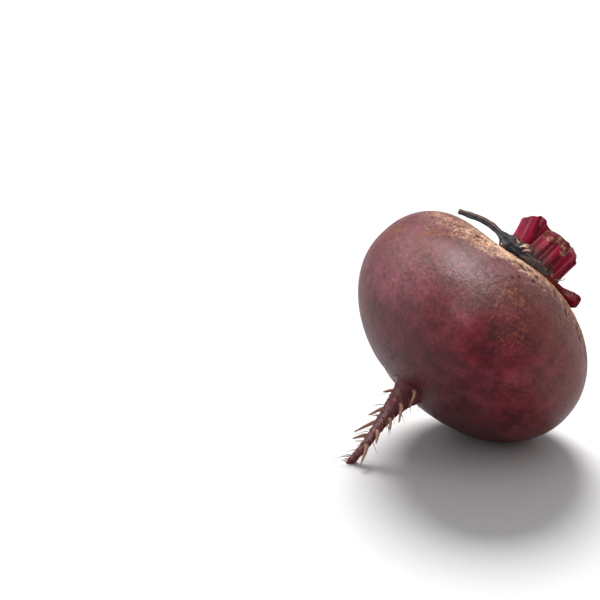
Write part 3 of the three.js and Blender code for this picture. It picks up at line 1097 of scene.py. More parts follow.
@dataclass
class SwollenRoot:
    """The swollen root with its tail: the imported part's own form, finely meshed, with its skin's relief."""

    girth_radius: float = 44.8
    shoulder_height: float = 27.2
    shoulder_squareness: float = 2.4
    underside_depth: float = 31.1
    underside_squareness: float = 2.03
    ovalness: float = 0.035
    oval_azimuth: float = 14
    dent_depth: float = 3.6
    dent_azimuth: float = 208
    dent_radius: float = 26.8
    dent_spread: float = 16.3
    dent_fade: float = 7.0
    lump_height: float = 0.35
    crown_rise: float = 3.4
    crown_radius: float = 11.5
    crown_steepness: float = 4
    scar_reach: float = 20
    scar_spacing: float = 3.1
    scar_height: float = 0.3
    tail_length: float = 33
    tail_neck_radius: float = 7.6
    tail_fade: float = 10
    tail_tip_radius: float = 1.1
    tail_sag: float = 3.4
    tail_wander: float = 1.6
    rings: int = 232
    sides: int = 400
    cork_from: float = 10.0
    cork_dip: float = 6.5
    cork_dip_azimuth: float = 192
    cork_dip_spread: float = 28
    cork_rise: float = 3.2
    cork_rise_azimuth: float = 262
    cork_rise_spread: float = 38
    cork_fade: float = 8.0
    fullest_azimuth: float = 225
    far_rise: float = 7.0
    edge_drift: tuple[tuple[float, float, int], ...] = ((3.2, 9.0, 3), (2.6, 3.4, 4), (1.6, 1.5, 8))
    # The haze lays the pale bloom along the cork's lower edge, partly as a painted sheen.
    haze: float = 0.42
    haze_run: Pair = (-7, 3)
    speckle_run: Pair = (-9, 1)
    speckle: Pair = (0.42, 0.3)
    thin_azimuth: float = 184
    thin_spread: float = 24
    thinning: float = 0.45
    thin_run: Pair = (17, 26)
    pit_reach: float = 2.4
    stray_pits: int = 90
    stray_pit_radius: Pair = (22, 44)
    stray_pit_size: Pair = (0.3, 0.6)
    groove_azimuths: Pair = (95.0, 262.0)
    groove_width: float = 2.6
    groove_runs: tuple[Pair, Pair] = ((6, 20), (34, 44))
    soil_amount: float = 0.75
    soil_run: Pair = (13, 27)
    rust_patches: tuple[Patch, ...] = (
        Patch(238, 2, 8.5, 0.95), Patch(226, -3, 9, 0.6), Patch(250, -3, 8, 0.6), Patch(215, 1, 8, 0.55),
        Patch(198, 5, 12, 0.85), Patch(170, 0, 12, 0.85), Patch(315, -8, 7, 0.8), Patch(40, 2, 15, 0.7),
        Patch(100, 4, 12, 0.6), Patch(340, 3, 10, 0.7),
    )
    wine_patches: tuple[Patch, ...] = (
        Patch(240, -11, 15, 1.0), Patch(254, -6, 15, 0.95), Patch(222, -14, 12, 0.8),
        Patch(238, 2, 9, 0.55), Patch(285, -12, 17, 0.7), Patch(30, -10, 24, 0.6), Patch(130, -8, 22, 0.7),
    )
    # Pale bloom: a dusty film, and where it lies on the near shoulder, a painted sheen as well.
    bloom_and_sheen_patches: tuple[Patch, ...] = (
        Patch(190, -6, 20, 0.4), Patch(200, 7, 9, 0.5), Patch(213, 9, 8, 0.75), Patch(226, 9, 6, 0.6),
        Patch(225, -7, 7, 0.5), Patch(215, -2, 16, 0.3), Patch(60, 0, 18, 0.35), Patch(120, 2, 14, 0.35),
    )
    pale_patches: tuple[Patch, ...] = (
        Patch(219, 12.5, 9, 1.0), Patch(230, 15, 9, 0.7), Patch(205, 15, 9, 0.45), Patch(20, 16, 20, 0.5),
        Patch(110, 15, 20, 0.6),
    )
    dust_patches: tuple[Patch, ...] = (
        Patch(244, 9, 10, 0.9), Patch(262, 9, 12, 0.8), Patch(285, 3, 17, 0.7), Patch(312, 0, 18, 0.7),
        Patch(20, 4, 18, 0.5), Patch(80, 8, 16, 0.6),
    )
    pits: tuple[Triple, ...] = (
        (231, 38.4, 1.3), (233, 39, 1.2), (235, 37, 1.15), (232.5, 36.4, 0.9), (232, 43.3, 0.8),
        (234, 42.4, 0.7), (240, 37.6, 1.15), (240, 40.5, 0.9), (245, 39.7, 0.7), (253, 36.3, 0.95),
        (254, 37.5, 0.7), (246, 42.3, 0.5), (263, 38.3, 1.1), (264.5, 39.2, 0.8), (260, 41.7, 0.55),
        (276, 38, 0.7), (281, 39.2, 1.0), (259, 42.9, 0.45), (225, 44.6, 0.5), (207, 40.2, 1.0),
        (208.5, 39.8, 0.8), (211, 39.9, 0.6), (188, 34.7, 0.7), (201, 44.2, 0.6), (184, 43.1, 0.8),
    )

    def top_height(self, radius: Array) -> Array:
        """Height of the shoulder and crown above the girth at a radius.

        Args:
            radius: Distances from the axis.

        Returns:
            A height for each.
        """
        share = np.minimum(radius / self.girth_radius, 1) ** self.shoulder_squareness
        shoulder = self.shoulder_height * (1 - share) ** (1 / self.shoulder_squareness)
        crown = self.crown_rise * np.exp(-((radius / self.crown_radius) ** self.crown_steepness))
        scars = self.scar_height * np.sin(TURN * radius / self.scar_spacing)
        return shoulder + crown + scars * (1 - smoothstep(radius, self.crown_radius, self.scar_reach))

    def lower_radius(self, depth: Array) -> Array:
        """Radius below the girth: the underside's curve, run softly into the tail.

        Args:
            depth: Distances below the girth.

        Returns:
            A radius for each.
        """
        share = np.minimum(depth / self.underside_depth, 1) ** self.underside_squareness
        globe = self.girth_radius * (1 - share) ** (1 / self.underside_squareness)
        along = np.maximum(depth - self.underside_depth + self.tail_fade / 2, 0)
        taper = self.tail_tip_radius + self.tail_neck_radius * np.exp(-along / self.tail_fade)
        from_tip = (self.underside_depth + self.tail_length - depth) / (2 * self.tail_tip_radius)
        rounding = np.sqrt(1 - np.clip(1 - from_tip, 0, 1) ** 2)
        return np.hypot(globe**2, (taper * rounding) ** 2) ** 0.5

    def profile(self) -> Array:
        """The half outline from the crown's middle to the tail's tip, as rows of radius and height.

        Returns:
            The outline's points at an even pace.
        """
        turn = np.linspace(0, math.pi / 2, 800, endpoint=False)[1:]
        radius = self.girth_radius * np.sin(turn) ** (2 / self.shoulder_squareness)
        top = np.stack([radius, self.top_height(radius)], axis=1)
        depth = np.linspace(0, self.underside_depth + self.tail_length, 1400)[:-1]
        lower = np.stack([self.lower_radius(depth), -depth], axis=1)
        fine = np.concatenate([top, lower])
        walked = distance_along(fine)
        even = np.linspace(0, walked[-1], self.rings)
        return np.stack([np.interp(even, walked, fine[:, i]) for i in range(2)], axis=1)

    def grow_uneven(self, points: Array) -> Array:
        """Makes the round profile's points uneven: oval, dented, lumpy, with a bent tail.

        Args:
            points: Places on the round profile.

        Returns:
            The same places on the uneven root.
        """
        x, y, z = points.T
        azimuth = np.arctan2(y, x)
        share = np.hypot(x, y) / self.girth_radius
        oval = 1 + self.ovalness * share**2 * np.cos(2 * (azimuth - math.radians(self.oval_azimuth)))
        # Two crossing sets of waves, 25 to 45 mm long, make the lumps.
        crossing = np.sin(x / 8.5 + 0.7) * np.cos(y / 9.5 + 1.9)
        slanting = np.sin((z - 0.7 * x) / 7.5 + 2.4) * np.cos(y / 14)
        lump = self.lump_height * (crossing + slanting)
        swell = oval * (1 + lump * np.minimum(3 * share, 1) / self.girth_radius)
        centre = direction(self.dent_azimuth) * self.dent_radius
        near = bell(np.hypot(x - centre[0], y - centre[1]), self.dent_spread)
        dent = self.dent_depth * near * smoothstep(z, 0, self.dent_fade)
        return self.bend_tail(np.stack([x * swell, y * swell, z - dent], axis=1))

    def bend_tail(self, points: Array) -> Array:
        """Sags the tail towards the table and lets it wander a little sideways.

        Args:
            points: Places on or beside the straight root.

        Returns:
            The places, bent.
        """
        neck = 0.8 * self.underside_depth
        along = np.maximum(-points[:, 2] - neck, 0) / (self.underside_depth + self.tail_length - neck)
        bent = points.copy()
        bent[:, 0] += self.tail_sag * along**2
        bent[:, 1] += self.tail_wander * np.sin(TURN * along) * along
        return bent

    def patched(self, points: Array, patches: Sequence[Patch]) -> Array:
        """How strongly patches colour the skin.

        Args:
            points: Places on the skin.
            patches: The patches.

        Returns:
            One value from 0 to 1 a place.
        """
        total = np.zeros(len(points))
        for patch in patches:
            level = max(1 - (patch.height / self.underside_depth) ** 2, 0) ** 0.5
            centre = direction(patch.azimuth) * self.girth_radius * level + np.array([0, 0, patch.height])
            near = bell(np.linalg.norm(points - centre, axis=1), patch.spread)
            total = np.maximum(total, patch.amount * near)
        return np.clip(total, 0, 1)

    def skin_values(self, own: Array, lie: Array) -> dict[str, Array]:
        """What the relief and the skin's finish read at every vertex.

        Args:
            own: Places in the root's own axes.
            lie: Millimetres round the girth and along the outline.

        Returns:
            Values by name.
        """
        height = own[:, 2]
        radius = np.hypot(own[:, 0], own[:, 1])
        azimuth = np.degrees(np.arctan2(own[:, 1], own[:, 0])) % 360
        drift = sum(reach * smooth_noise(own, size, seed) for reach, size, seed in self.edge_drift)
        dip = self.cork_dip * bell(azimuth - self.cork_dip_azimuth, self.cork_dip_spread)
        rise = self.cork_rise * bell(azimuth - self.cork_rise_azimuth, self.cork_rise_spread)
        far = 0.5 - 0.5 * np.cos(np.radians(azimuth - self.fullest_azimuth))
        above = height + drift * (1 + far) - self.cork_from + dip - rise - self.far_rise * far**2
        cork = smoothstep(above, 0, self.cork_fade * (1 + far))
        thin = self.thinning * bell(azimuth - self.thin_azimuth, self.thin_spread)
        cork = np.clip(cork * (1 - thin * (1 - smoothstep(height, *self.thin_run))), 0, 1)
        ragged = 1 + 0.5 * smooth_noise(own, 4.0, 5)
        speckled = self.speckle[0] + self.speckle[1] * smooth_noise(own, 6.0, 7)
        speckled = speckled * smoothstep(above, *self.speckle_run)
        pit = np.zeros(len(own))
        for place, size in self.pit_places():
            pit = np.maximum(pit, 1 - np.linalg.norm(own - place, axis=1) / size / self.pit_reach)
        groove = np.zeros(len(own))
        for wanted in self.groove_azimuths:
            off = np.radians(np.abs((azimuth - wanted + 180) % 360 - 180)) * np.maximum(radius, 4)
            groove = np.maximum(groove, bell(off, self.groove_width))
        starts, stops = self.groove_runs
        rust, wine, bloom, dust, pale = (
            self.patched(own, patches)
            for patches in (
                self.rust_patches,
                self.wine_patches,
                self.bloom_and_sheen_patches,
                self.dust_patches,
                self.pale_patches,
            )
        )
        soil = smoothstep(-height + 4 * smooth_noise(own, 8.0, 6), *self.soil_run)
        return {
            "own": own,
            "lie": lie,
            "cork": cork,
            "fleck": smoothstep(cork * ragged, 0.6, 1.3) * (radius > self.crown_radius + 4) * (pit < 0.2),
            "rust": np.clip(np.maximum(rust, speckled) * ragged, 0, 1),
            "wine": np.clip(wine * ragged, 0, 1),
            # Pale dusty bloom, partly a painted sheen.
            "bloom": np.maximum(bloom, self.haze * smoothstep(above, *self.haze_run)),
            "dust": np.clip(dust * ragged, 0, 1),
            "pale": pale,
            "soil": self.soil_amount * soil,
            "tail": smoothstep(-height, 0.86 * self.underside_depth, 1.15 * self.underside_depth),
            "scar": smoothstep(height, 18, 24) * (1 - smoothstep(radius, 24, 31)),
            "pit": np.clip(pit, 0, 1),
            "groove": groove * smoothstep(-height, *starts) * (1 - smoothstep(-height, *stops)),
        }

    def pit_places(self) -> list[tuple[Array, float]]:
        """Where the pits are, and how wide: the ones that are seen plainly, and strays round the shoulder.

        Returns:
            The place and width of each.
        """
        places = [(self.on_top(azimuth, radius), size) for azimuth, radius, size in self.pits]
        chance = np.random.default_rng(11)
        for _ in range(self.stray_pits):
            azimuth, radius = chance.uniform(0, 360), chance.uniform(*self.stray_pit_radius)
            places.append((self.on_top(azimuth, radius), chance.uniform(*self.stray_pit_size)))
        return places

    def on_top(self, azimuth: float, radius: float) -> Array:
        """The place on the grown shoulder at an azimuth and a radius.

        Args:
            azimuth: Degrees round the axis.
            radius: Distance from the axis.

        Returns:
            The place.
        """
        flat = direction(azimuth) * radius
        flat[2] = float(self.top_height(np.array(radius)))
        return self.grow_uneven(flat[None])[0]

    def build(self, finish: Material, relief: Tree) -> Thing:
        """Makes the root.

        Args:
            finish: The skin's material.
            relief: The tree that raises its relief.

        Returns:
            The finished object.
        """
        outline = self.profile()
        azimuth = np.linspace(0, 360, self.sides, endpoint=False)
        grid = outline[:, 0, None, None] * direction(azimuth)[None]
        grid[..., 2] = outline[:, 1, None]
        own = self.grow_uneven(with_poles(grid))
        lie = np.zeros_like(grid)
        lie[..., 0] = np.radians(azimuth) * self.girth_radius
        lie[..., 1] = distance_along(outline)[:, None]
        values = self.skin_values(own, with_poles(lie))
        made = make_object("beet_root", LYING.to_row(own), closed_grid(self.rings, self.sides), values=values)
        # The cork's grain is coarser than the real one of under a millimetre, as the mesh's steps are 0.7 mm.
        sizes = {"Cork Height": 0.45, "Cork Grain": 1.7, "Ring Height": 0.16, "Pit Depth": 0.35}
        sizes |= {"Pit Spacing": 1.7, "Pore Depth": 0.12, "Groove Depth": 0.5, "Wrinkle Height": 0.13}
        sizes |= {"Wrinkle Spacing": 1.9, "Ring Spacing": self.scar_spacing, "Finish": finish}
        grow(made, relief, sizes)
        settle(made)
        return made


def settle(piece: Thing) -> None:
    """Lifts every vertex that is under the table onto it.

    Args:
        piece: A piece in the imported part's own frame.
    """
    count = len(piece.data.vertices)
    places = np.zeros(count * 3, np.float32)
    piece.data.vertices.foreach_get("co", places)
    places = places.reshape(-1, 3)
    places[:, 2] = np.maximum(places[:, 2], 0)
    piece.data.vertices.foreach_set("co", places.ravel())
    piece.data.update()


@dataclass(frozen=True)
class CorkFlecks:
    """Loose chips of cork, scattered where the skin's own fleck value is high."""

    per_square_metre: float = 60000.0
    least: float = 0.25
    most: float = 0.9
    seed: int = 12

    def build(self, skin: Thing) -> Thing:
        """Makes the flecks on the finished skin.

        Args:
            skin: The root's finished skin.

        Returns:
            The flecks.
        """
        chip = cork_chip("one_chip")
        flecks = linked("cork_flecks", skin.data.copy())
        sizes = {"Piece": chip, "Flecks Per Area": self.per_square_metre, "Finish": CORKY.build()}
        sizes |= {"Least": self.least, "Most": self.most, "Seed": self.seed}
        grow(flecks, fleck_tree(), sizes)
        settle(flecks)
        bpy.data.objects.remove(chip)
        return flecks


@dataclass
class Rootlets:
    """Side roots in the root's two grooves, and the dry hairs between them."""

    root: SwollenRoot
    count: int = 9
    length: float = 9
    radius: float = 0.75
    hairs: int = 85
    hair_length: float = 5.5
    hair_radius: float = 0.13
    hair_azimuths: Pair = (40, 320)
    hair_depths: Pair = (-0.12, 0.95)
    hair_shares: Pair = (0.4, 1)
    hair_droops: Pair = (0.4, 1.3)
    taper: Pair = (1.25, 0.3)
    steps: int = 14

    def chain(self, azimuth: float, depth: float, length: float, droop: float) -> Array:
        """A side root's centre line, bent as the tail is.

        Args:
            azimuth: Where it leaves the tail.
            depth: How far below the girth it leaves.
            length: Its length.
            droop: How far it turns towards the tail's tip.

        Returns:
            Its points.
        """
        surface = float(self.root.lower_radius(np.array(depth)))
        points = [
            Spot(azimuth, 0.35 * surface, -depth).point(),
            Spot(azimuth, surface + 0.11 * length, -depth - 0.05 * length).point(),
            Spot(azimuth + 4 * droop, surface + 0.7 * length, -depth - 0.7 * length * droop).point(),
        ]
        bent = self.root.bend_tail(np.array(points))
        return SmoothPath(bent).at(np.linspace(0, 1, self.steps))

    def build(self, strand: Tree) -> list[Thing]:
        """Makes the side roots and the hairs.

        Args:
            strand: The tree that sweeps a strand along a chain.

        Returns:
            The two objects.
        """
        thick, thin = [], []
        for i in range(1, self.count + 1):
            azimuth = self.root.groove_azimuths[i % 2] + 14 * math.sin(4.1 * i)
            depth = self.root.underside_depth - 3 + 0.82 * self.root.tail_length * i / self.count
            thick.append(self.chain(azimuth, depth, self.length * (0.75 + 0.35 * math.sin(2.3 * i)), 1.0))
        chance = np.random.default_rng(5)
        for _ in range(self.hairs):
            azimuth = chance.uniform(*self.hair_azimuths)
            depth = self.root.underside_depth + self.root.tail_length * chance.uniform(*self.hair_depths)
            length = self.hair_length * chance.uniform(*self.hair_shares)
            thin.append(self.chain(azimuth, depth, length, chance.uniform(*self.hair_droops)))
        finish = HAIRY.build()
        made = []
        kinds = (("rootlets", thick, self.radius), ("root_hairs", thin, self.hair_radius))
        for name, chains, radius in kinds:
            spine = chain_object(name, chains, np.tile(np.linspace(*self.taper, self.steps), len(chains)))
            sizes = {"Half Width": radius * MM, "Half Thickness": radius * MM, "Ribs": 3.0, "Rib Depth": 0.08}
            sizes |= {"Shrivel": radius * 0.9 * MM, "Shrivel Size": 0.0012, "Seed": 4.0, "Sides": 9}
            grow(spine, strand, sizes | {"Finish": finish})
            settle(spine)
            made.append(spine)
        return made


def chain_object(name: str, chains: Sequence[Array], width: Array) -> Thing:
    """An object of edge chains for a strand tree.

    Args:
        name: The object's name.
        chains: Points of each chain, in the root's own axes.
        width: The strand's width at every point, as a share of its size.

    Returns:
        The object.
    """
    edges, start = [], 0
    for chain in chains:
        edges += [[start + i, start + i + 1] for i in range(len(chain) - 1)]
        start += len(chain)
    return make_object(name, LYING.to_row(np.vstack(chains)), edges=edges, values={"width": width})


def facing_up(piece: Thing) -> tuple[Array, Array]:
    """How far each vertex of a piece faces up, from -1 to 1, and its place in the root's own axes.

    Args:
        piece: The piece.

    Returns:
        One value a vertex, and the places, one a row.
    """
    count = len(piece.data.vertices)
    places, normals = np.zeros(count * 3), np.zeros(count * 3)
    piece.data.vertices.foreach_get("co", places)
    piece.data.vertices.foreach_get("normal", normals)
    return normals.reshape(-1, 3)[:, 2], LYING.to_own(places.reshape(-1, 3))


def tint(piece: Thing, amount: Array) -> None:
    """Keeps how much of its finish's accent each vertex of a piece shows."""
    kept = piece.data.attributes.new("tint", "FLOAT", "POINT")
    kept.data.foreach_set("value", np.ascontiguousarray(amount, np.float32))


# What stands on the crown


@dataclass
class StalkStub:
    """A leaf stalk cut short: ribbed outside, channelled inside, with a dried hollow cut."""

    number: int
    azimuth: float
    radius: float
    lean: float
    half_width: float
    half_thickness: float
    top: float
    slant: Pair
    dry_top: float = 0.0
    pale_edge: float = 0.0
    weathered: float = 0.5
    foot_height: float = 26.5
    flare: float = 1.3
    ribs: int = 6
    rib_depth: float = 0.06
    fine_ribs: int = 17
    fine_rib_depth: float = 0.022
    channel: float = 0.85
    cut_hollow: float = 0.9
    unevenness: tuple[tuple[float, float, int], ...] = ((0.16, 1.6, 20), (0.1, 0.8, 40))
    margin_angles: Pair = (math.pi * 1.12, math.pi * 1.88)
    margin_spread: float = 0.22
    strand_count: int = 8
    strand_reach: float = 0.62
    rings: int = 54
    cut_rings: int = 9
    sides: int = 150

    def path(self) -> SmoothPath:
        """Its centre line, bent out more in its upper half.

        Returns:
            The line, from its foot to its cut.
        """
        outward = direction(self.azimuth)
        height = self.top - self.foot_height
        spread = height * math.tan(math.radians(self.lean))
        foot = outward * self.radius + np.array([0, 0, self.foot_height])
        bends = ((0, 0), (0.36 * spread, height / 2), (spread, height))
        return SmoothPath([foot + outward * out + np.array([0, 0, up]) for out, up in bends])

    def section(self, angle: Array) -> tuple[Array, Array, Array]:
        """Its cross-section: how far across and out, and how light the painted rib highlight is, at angles
        round it.

        Args:
            angle: The angles.

        Returns:
            Millimetres across and out, and 0 to 1 for the painted highlight on the ribs, low in the channels
            as painted shade.
        """
        across, out = np.cos(angle), np.sin(angle)
        face = np.where(out > 0, 1.0, 0.3)
        wave = np.cos(self.ribs * angle)
        fine = np.cos(self.fine_ribs * angle + 1.3 * self.number)
        rib = 1 + face * (self.rib_depth * wave + self.fine_rib_depth * fine)
        margin = np.where(out < 0, self.channel * (0.55 * out + 1.5 * out**4), 0)
        # Lighter on the raised ribs and darker between them, as painted highlight and painted shade.
        painted_rib_light = 0.5 + 0.35 * wave + 0.15 * fine
        return self.half_width * across * rib, self.half_thickness * (out * rib + margin), painted_rib_light

    def build(self, finish: Material) -> Thing:
        """Makes the stub.

        Args:
            finish: The stalk's material.

        Returns:
            The finished object.
        """
        path = self.path()
        angle = angles_round(self.sides)
        across, out, painted_rib_light = self.section(angle)
        cut_reach = np.linspace(1, 0.04, self.cut_rings + 1)[1:]
        share = np.concatenate([np.linspace(0, 1, self.rings), np.ones(self.cut_rings)])
        reach = np.concatenate([np.ones(self.rings), cut_reach])
        swell = self.flare + (1 - self.flare) * share * (2 - share)
        ahead, side, up = path.axes(share, self.azimuth)
        size = (reach * swell)[:, None]
        grid = path.at(share)[:, None] + side[:, None] * (across * size)[..., None]
        grid = grid + up[:, None] * (out * size)[..., None]
        rise = (self.slant[0] * across + self.slant[1] * out) * size * (share**4)[:, None]
        hollow = self.cut_hollow * (1 - reach**2)[:, None] * smoothstep(1 - reach, 0.03, 0.3)[:, None]
        own = with_poles(grid + ahead[:, None] * (rise - hollow)[..., None])
        lift = sum(h * smooth_noise(own, lump, seed + self.number) for h, lump, seed in self.unevenness)
        own = own + direction(self.azimuth) * (lift * 0.6)[:, None]
        own[:, 2] += lift * 1.4
        values = self.skin_values(path, share, reach, angle, painted_rib_light)
        name = f"cut_stalk_{self.number}"
        made = make_object(name, LYING.to_row(own), closed_grid(len(share), self.sides), values=values)
        made.data.materials.append(finish)
        return made

    def skin_values(
        self, path: SmoothPath, share: Array, reach: Array, angle: Array, painted_rib_light: Array
    ) -> dict[str, Array]:
        """What the stalk's finish reads at every vertex.

        Args:
            path: The stub's centre line.
            share: How far up the stub each ring is.
            reach: How far out of the stub's middle each ring is.
            angle: Where round the stub each side is.
            painted_rib_light: How much of a rib each side is, for the painted highlight on the ribs and
                painted shade between them.

        Returns:
            Values by name. The grain is the millimetres round and along the stub, for streaks that follow it.
        """
        left, right = (bell(angle - margin, self.margin_spread) for margin in self.margin_angles)
        round_it = np.abs(angle - math.pi) * self.half_width
        along = (share * path.length + (1 - reach) * self.half_thickness)[:, None]
        sheets = (share[:, None], 1 - reach[:, None], painted_rib_light, left + right, round_it, along, 7.0 * self.number)
        kept = with_poles(np.stack(np.broadcast_arrays(*sheets), axis=-1))
        up, cut, rib, edge = kept[:, :4].T
        lip = np.maximum(0.55 * smoothstep(up, 0.965, 1.0), 0.8 * smoothstep(cut, 0.0, 0.12))
        return {
            "grain": kept[:, 4:],
            # The painted rib highlight, left off the cut.
            "rib": rib * (1 - smoothstep(cut, 0, 0.1)),
            "dry": np.clip(np.maximum(self.dry_top * smoothstep(up, 0.55, 0.92), lip), 0, 1),
            "foot": 1 - smoothstep(up, 0.12, self.weathered),
            "pale": self.pale_edge * edge * (1 - cut),
        }

    def strands(self) -> list[tuple[Array, Array]]:
        """Places and directions of the cut strands that show in its cut.

        Returns:
            A place and a direction for each.
        """
        path, end = self.path(), np.array([1.0])
        ahead, side, up = (axis[0] for axis in path.axes(end, self.azimuth))
        low = self.cut_hollow * (1 - self.strand_reach**2)
        found = []
        for angle in np.linspace(0.35, math.pi - 0.35, self.strand_count):
            across, out = (self.strand_reach * part[0] for part in self.section(np.array([angle]))[:2])
            rise = self.slant[0] * across + self.slant[1] * out
            found.append((path.at(end)[0] + side * across + up * out + ahead * (rise - low), ahead))
        return found


@dataclass
class Rosette:
    """The six cut stalks that stand on the crown."""

    stubs: tuple[StalkStub, ...] = (
        StalkStub(1, 139, 6.9, 14, 5, 3.7, 44.3, (0.08, -0.55), dry_top=0.05),
        StalkStub(2, 100, 6.6, 6, 5.4, 3.1, 48.2, (0.12, 0.1), dry_top=0.2),
        StalkStub(3, 236, 6, 0, 5, 3.1, 43.4, (-0.12, 0), dry_top=0.8, weathered=0.85),
        StalkStub(4, 338, 6.3, 2, 4.9, 3.4, 44.6, (0, -0.45), dry_top=0.25, pale_edge=0.75),
        StalkStub(5, 39, 8.4, 9, 3.6, 2.6, 43.4, (-0.15, 0), dry_top=0.25),
        StalkStub(6, 190, 0.8, 3, 2.6, 1.9, 42, (-0.2, 0.2), dry_top=0.4),
    )
    strand_size: float = 0.42

    def build(self, placed: Tree) -> list[Thing]:
        """Makes the stubs and the strands in their cuts.

        Args:
            placed: The tree that sets pieces at points.

        Returns:
            The stubs in order, then the strands.
        """
        finish = FreshStalk().build()
        made = [stub.build(finish) for stub in self.stubs]
        found = [strand for stub in self.stubs for strand in stub.strands()]
        dot = dome("strand_dot", 9, 3, 0.45)
        strands = points_object("cut_strands", found, [(self.strand_size,) * 3] * len(found))
        grow(strands, placed, {"Piece": dot, "Size Spread": 0.25, "Seed": 3, "Finish": STRAND.build()})
        bpy.data.objects.remove(dot)
        return [*made, strands]


def points_object(name: str, places: Sequence[tuple[Array, Array]], sizes: Sequence[Triple]) -> Thing:
    """Loose points for a tree that sets pieces at points.

    Args:
        name: The object's name.
        places: Place and facing of each, in the root's own axes.
        sizes: Size of each along the piece's axes.

    Returns:
        The object.
    """
    turn = LYING.turn()
    facings = [Vector(turn @ facing).to_track_quat("Z", "Y").to_euler() for _, facing in places]
    values = {"turn": np.array(facings), "size": np.array(sizes, float)}
    return make_object(name, LYING.to_row(np.array([place for place, _ in places])), values=values)


def dome(name: str, sides: int, rings: int, height: float) -> Thing:
    """A small closed dome one millimetre in radius, as a piece to be repeated.

    Args:
        name: Its name.
        sides: Vertices round it.
        rings: Rings up it.
        height: Its height in radii.

    Returns:
        The object.
    """
    angle = angles_round(sides)
    lean = np.linspace(-0.6, 1.35, rings + 1)
    grid = np.zeros((len(lean), sides, 3))
    grid[..., 0] = np.cos(lean)[:, None] * np.cos(angle)
    grid[..., 1] = np.cos(lean)[:, None] * np.sin(angle)
    grid[..., 2] = height * np.sin(lean)[:, None]
    return make_object(name, with_poles(grid) * MM, closed_grid(len(lean), sides))


def cork_chip(name: str) -> Thing:
    """A thin ragged chip of cork one millimetre across, as a piece to be repeated.

    Args:
        name: Its name.

    Returns:
        The object.
    """
    sides = 8
    angle = angles_round(sides)
    ragged = 1 + 0.3 * np.sin(3 * angle + 0.7) + 0.2 * np.cos(5 * angle)
    grid = np.zeros((3, sides, 3))
    for ring, (reach, height) in enumerate(((0.42, -0.16), (0.5, 0.02), (0.3, 0.13))):
        grid[ring, :, 0] = reach * ragged * np.cos(angle)
        grid[ring, :, 1] = 0.75 * reach * ragged * np.sin(angle)
        grid[ring, :, 2] = height
    return make_object(name, with_poles(grid) * MM, closed_grid(3, sides))


def torn_scale(name: str) -> Thing:
    """A dry leaf base as a thin curled scale, one millimetre long and wide, as a piece to be repeated.

    Args:
        name: Its name.

    Returns:
        The object.
    """
    steps, sides = 7, 14
    angle = angles_round(sides)
    grid = np.zeros((steps, sides, 3))
    for ring in range(steps):
        t = ring / (steps - 1)
        half = 0.5 * (1 - 0.75 * t**1.6) * (1 + 0.12 * math.sin(9 * t))
        thick = 0.11 * (1 - 0.6 * t)
        across = half * np.cos(angle)
        curl = 0.5 * across**2 + 0.25 * t**2
        grid[ring, :, 0] = across
        grid[ring, :, 1] = thick * np.sin(angle) - curl
        grid[ring, :, 2] = t * (1 + 0.12 * np.cos(2.5 * angle + 1) * t)
    return make_object(name, with_poles(grid) * MM, closed_grid(steps, sides))


@dataclass(frozen=True)
class SweptStrand:
    """A strand over the crown, swept along its path by the strand tree."""

    name: str
    path: tuple[Spot, ...]
    finish: DriedTissue
    half_width: float
    half_thickness: float
    rib_depth: float
    shrivel: float
    shrivel_size: float
    seed: float
    ribs: float = 5.0
    sides: int = 56
    steps: int = 80

    def shares(self) -> Array:
        """The shares of its length that its steps are at."""
        return np.linspace(0, 1, self.steps)

    def width(self, t: Array) -> Array:
        """Its width along it, as a share of its size."""
        return np.ones_like(t)

    def accent(self, upper: Array, radius: Array) -> Array:
        """How much of its finish's accent shows, by how far up a place faces and its radius."""
        return np.zeros_like(radius)

    def build(self, strand: Tree) -> Thing:
        """Makes it with the strand tree.

        Args:
            strand: The tree that sweeps a strand along a chain.

        Returns:
            The finished object.
        """
        share = self.shares()
        made = chain_object(self.name, [SmoothPath(self.path).at(share)], self.width(share))
        sizes = {"Half Width": self.half_width * MM, "Half Thickness": self.half_thickness * MM}
        sizes |= {"Ribs": self.ribs, "Rib Depth": self.rib_depth, "Sides": self.sides, "Seed": self.seed}
        sizes |= {"Shrivel": self.shrivel * MM, "Shrivel Size": self.shrivel_size * MM}
        grow(made, strand, sizes | {"Finish": self.finish.build()})
        upper, own = facing_up(made)
        tint(made, self.accent(upper, np.hypot(own[:, 0], own[:, 1])))
        return made


@dataclass(frozen=True)
class WitheredStalk(SweptStrand):
    """The long charred stalk that leaves the crown sideways and floats over the shoulder."""

    name: str = "charred_stalk"
    path: tuple[Spot, ...] = (
        Spot(250, 10.6, 28.4), Spot(226, 11, 28.8), Spot(203, 11.8, 28.9), Spot(185, 13.9, 28.7),
        Spot(172, 16.6, 29.2), Spot(161, 21.1, 29.6), Spot(156, 25.2, 28.6), Spot(150, 31.4, 26.1),
    )
    finish: DriedTissue = CHARRED
    half_width: float = 2.4
    half_thickness: float = 2.4
    rib_depth: float = 0.09
    shrivel: float = 1.5
    shrivel_size: float = 2.4
    seed: float = 2.0
    steps: int = 130

    def width(self, t: Array) -> Array:
        """Its width along it: thick at the crown and thin over the shoulder.

        Args:
            t: Shares of its length.

        Returns:
            Shares of its size.
        """
        swelling = 0.55 + 0.6 * smoothstep(t, 0.1, 0.34)
        thinning = swelling - 0.68 * smoothstep(t, 0.4, 0.55) - 0.08 * smoothstep(t, 0.7, 1)
        return thinning * (1 + 0.05 * np.sin(23 * t) + 0.04 * np.sin(51 * t + 1))

    def accent(self, upper: Array, radius: Array) -> Array:
        """Brown on its upper side out over the shoulder: a painted highlight where it faces up."""
        return smoothstep(upper, 0.25, 0.8) * smoothstep(radius, 17, 21)


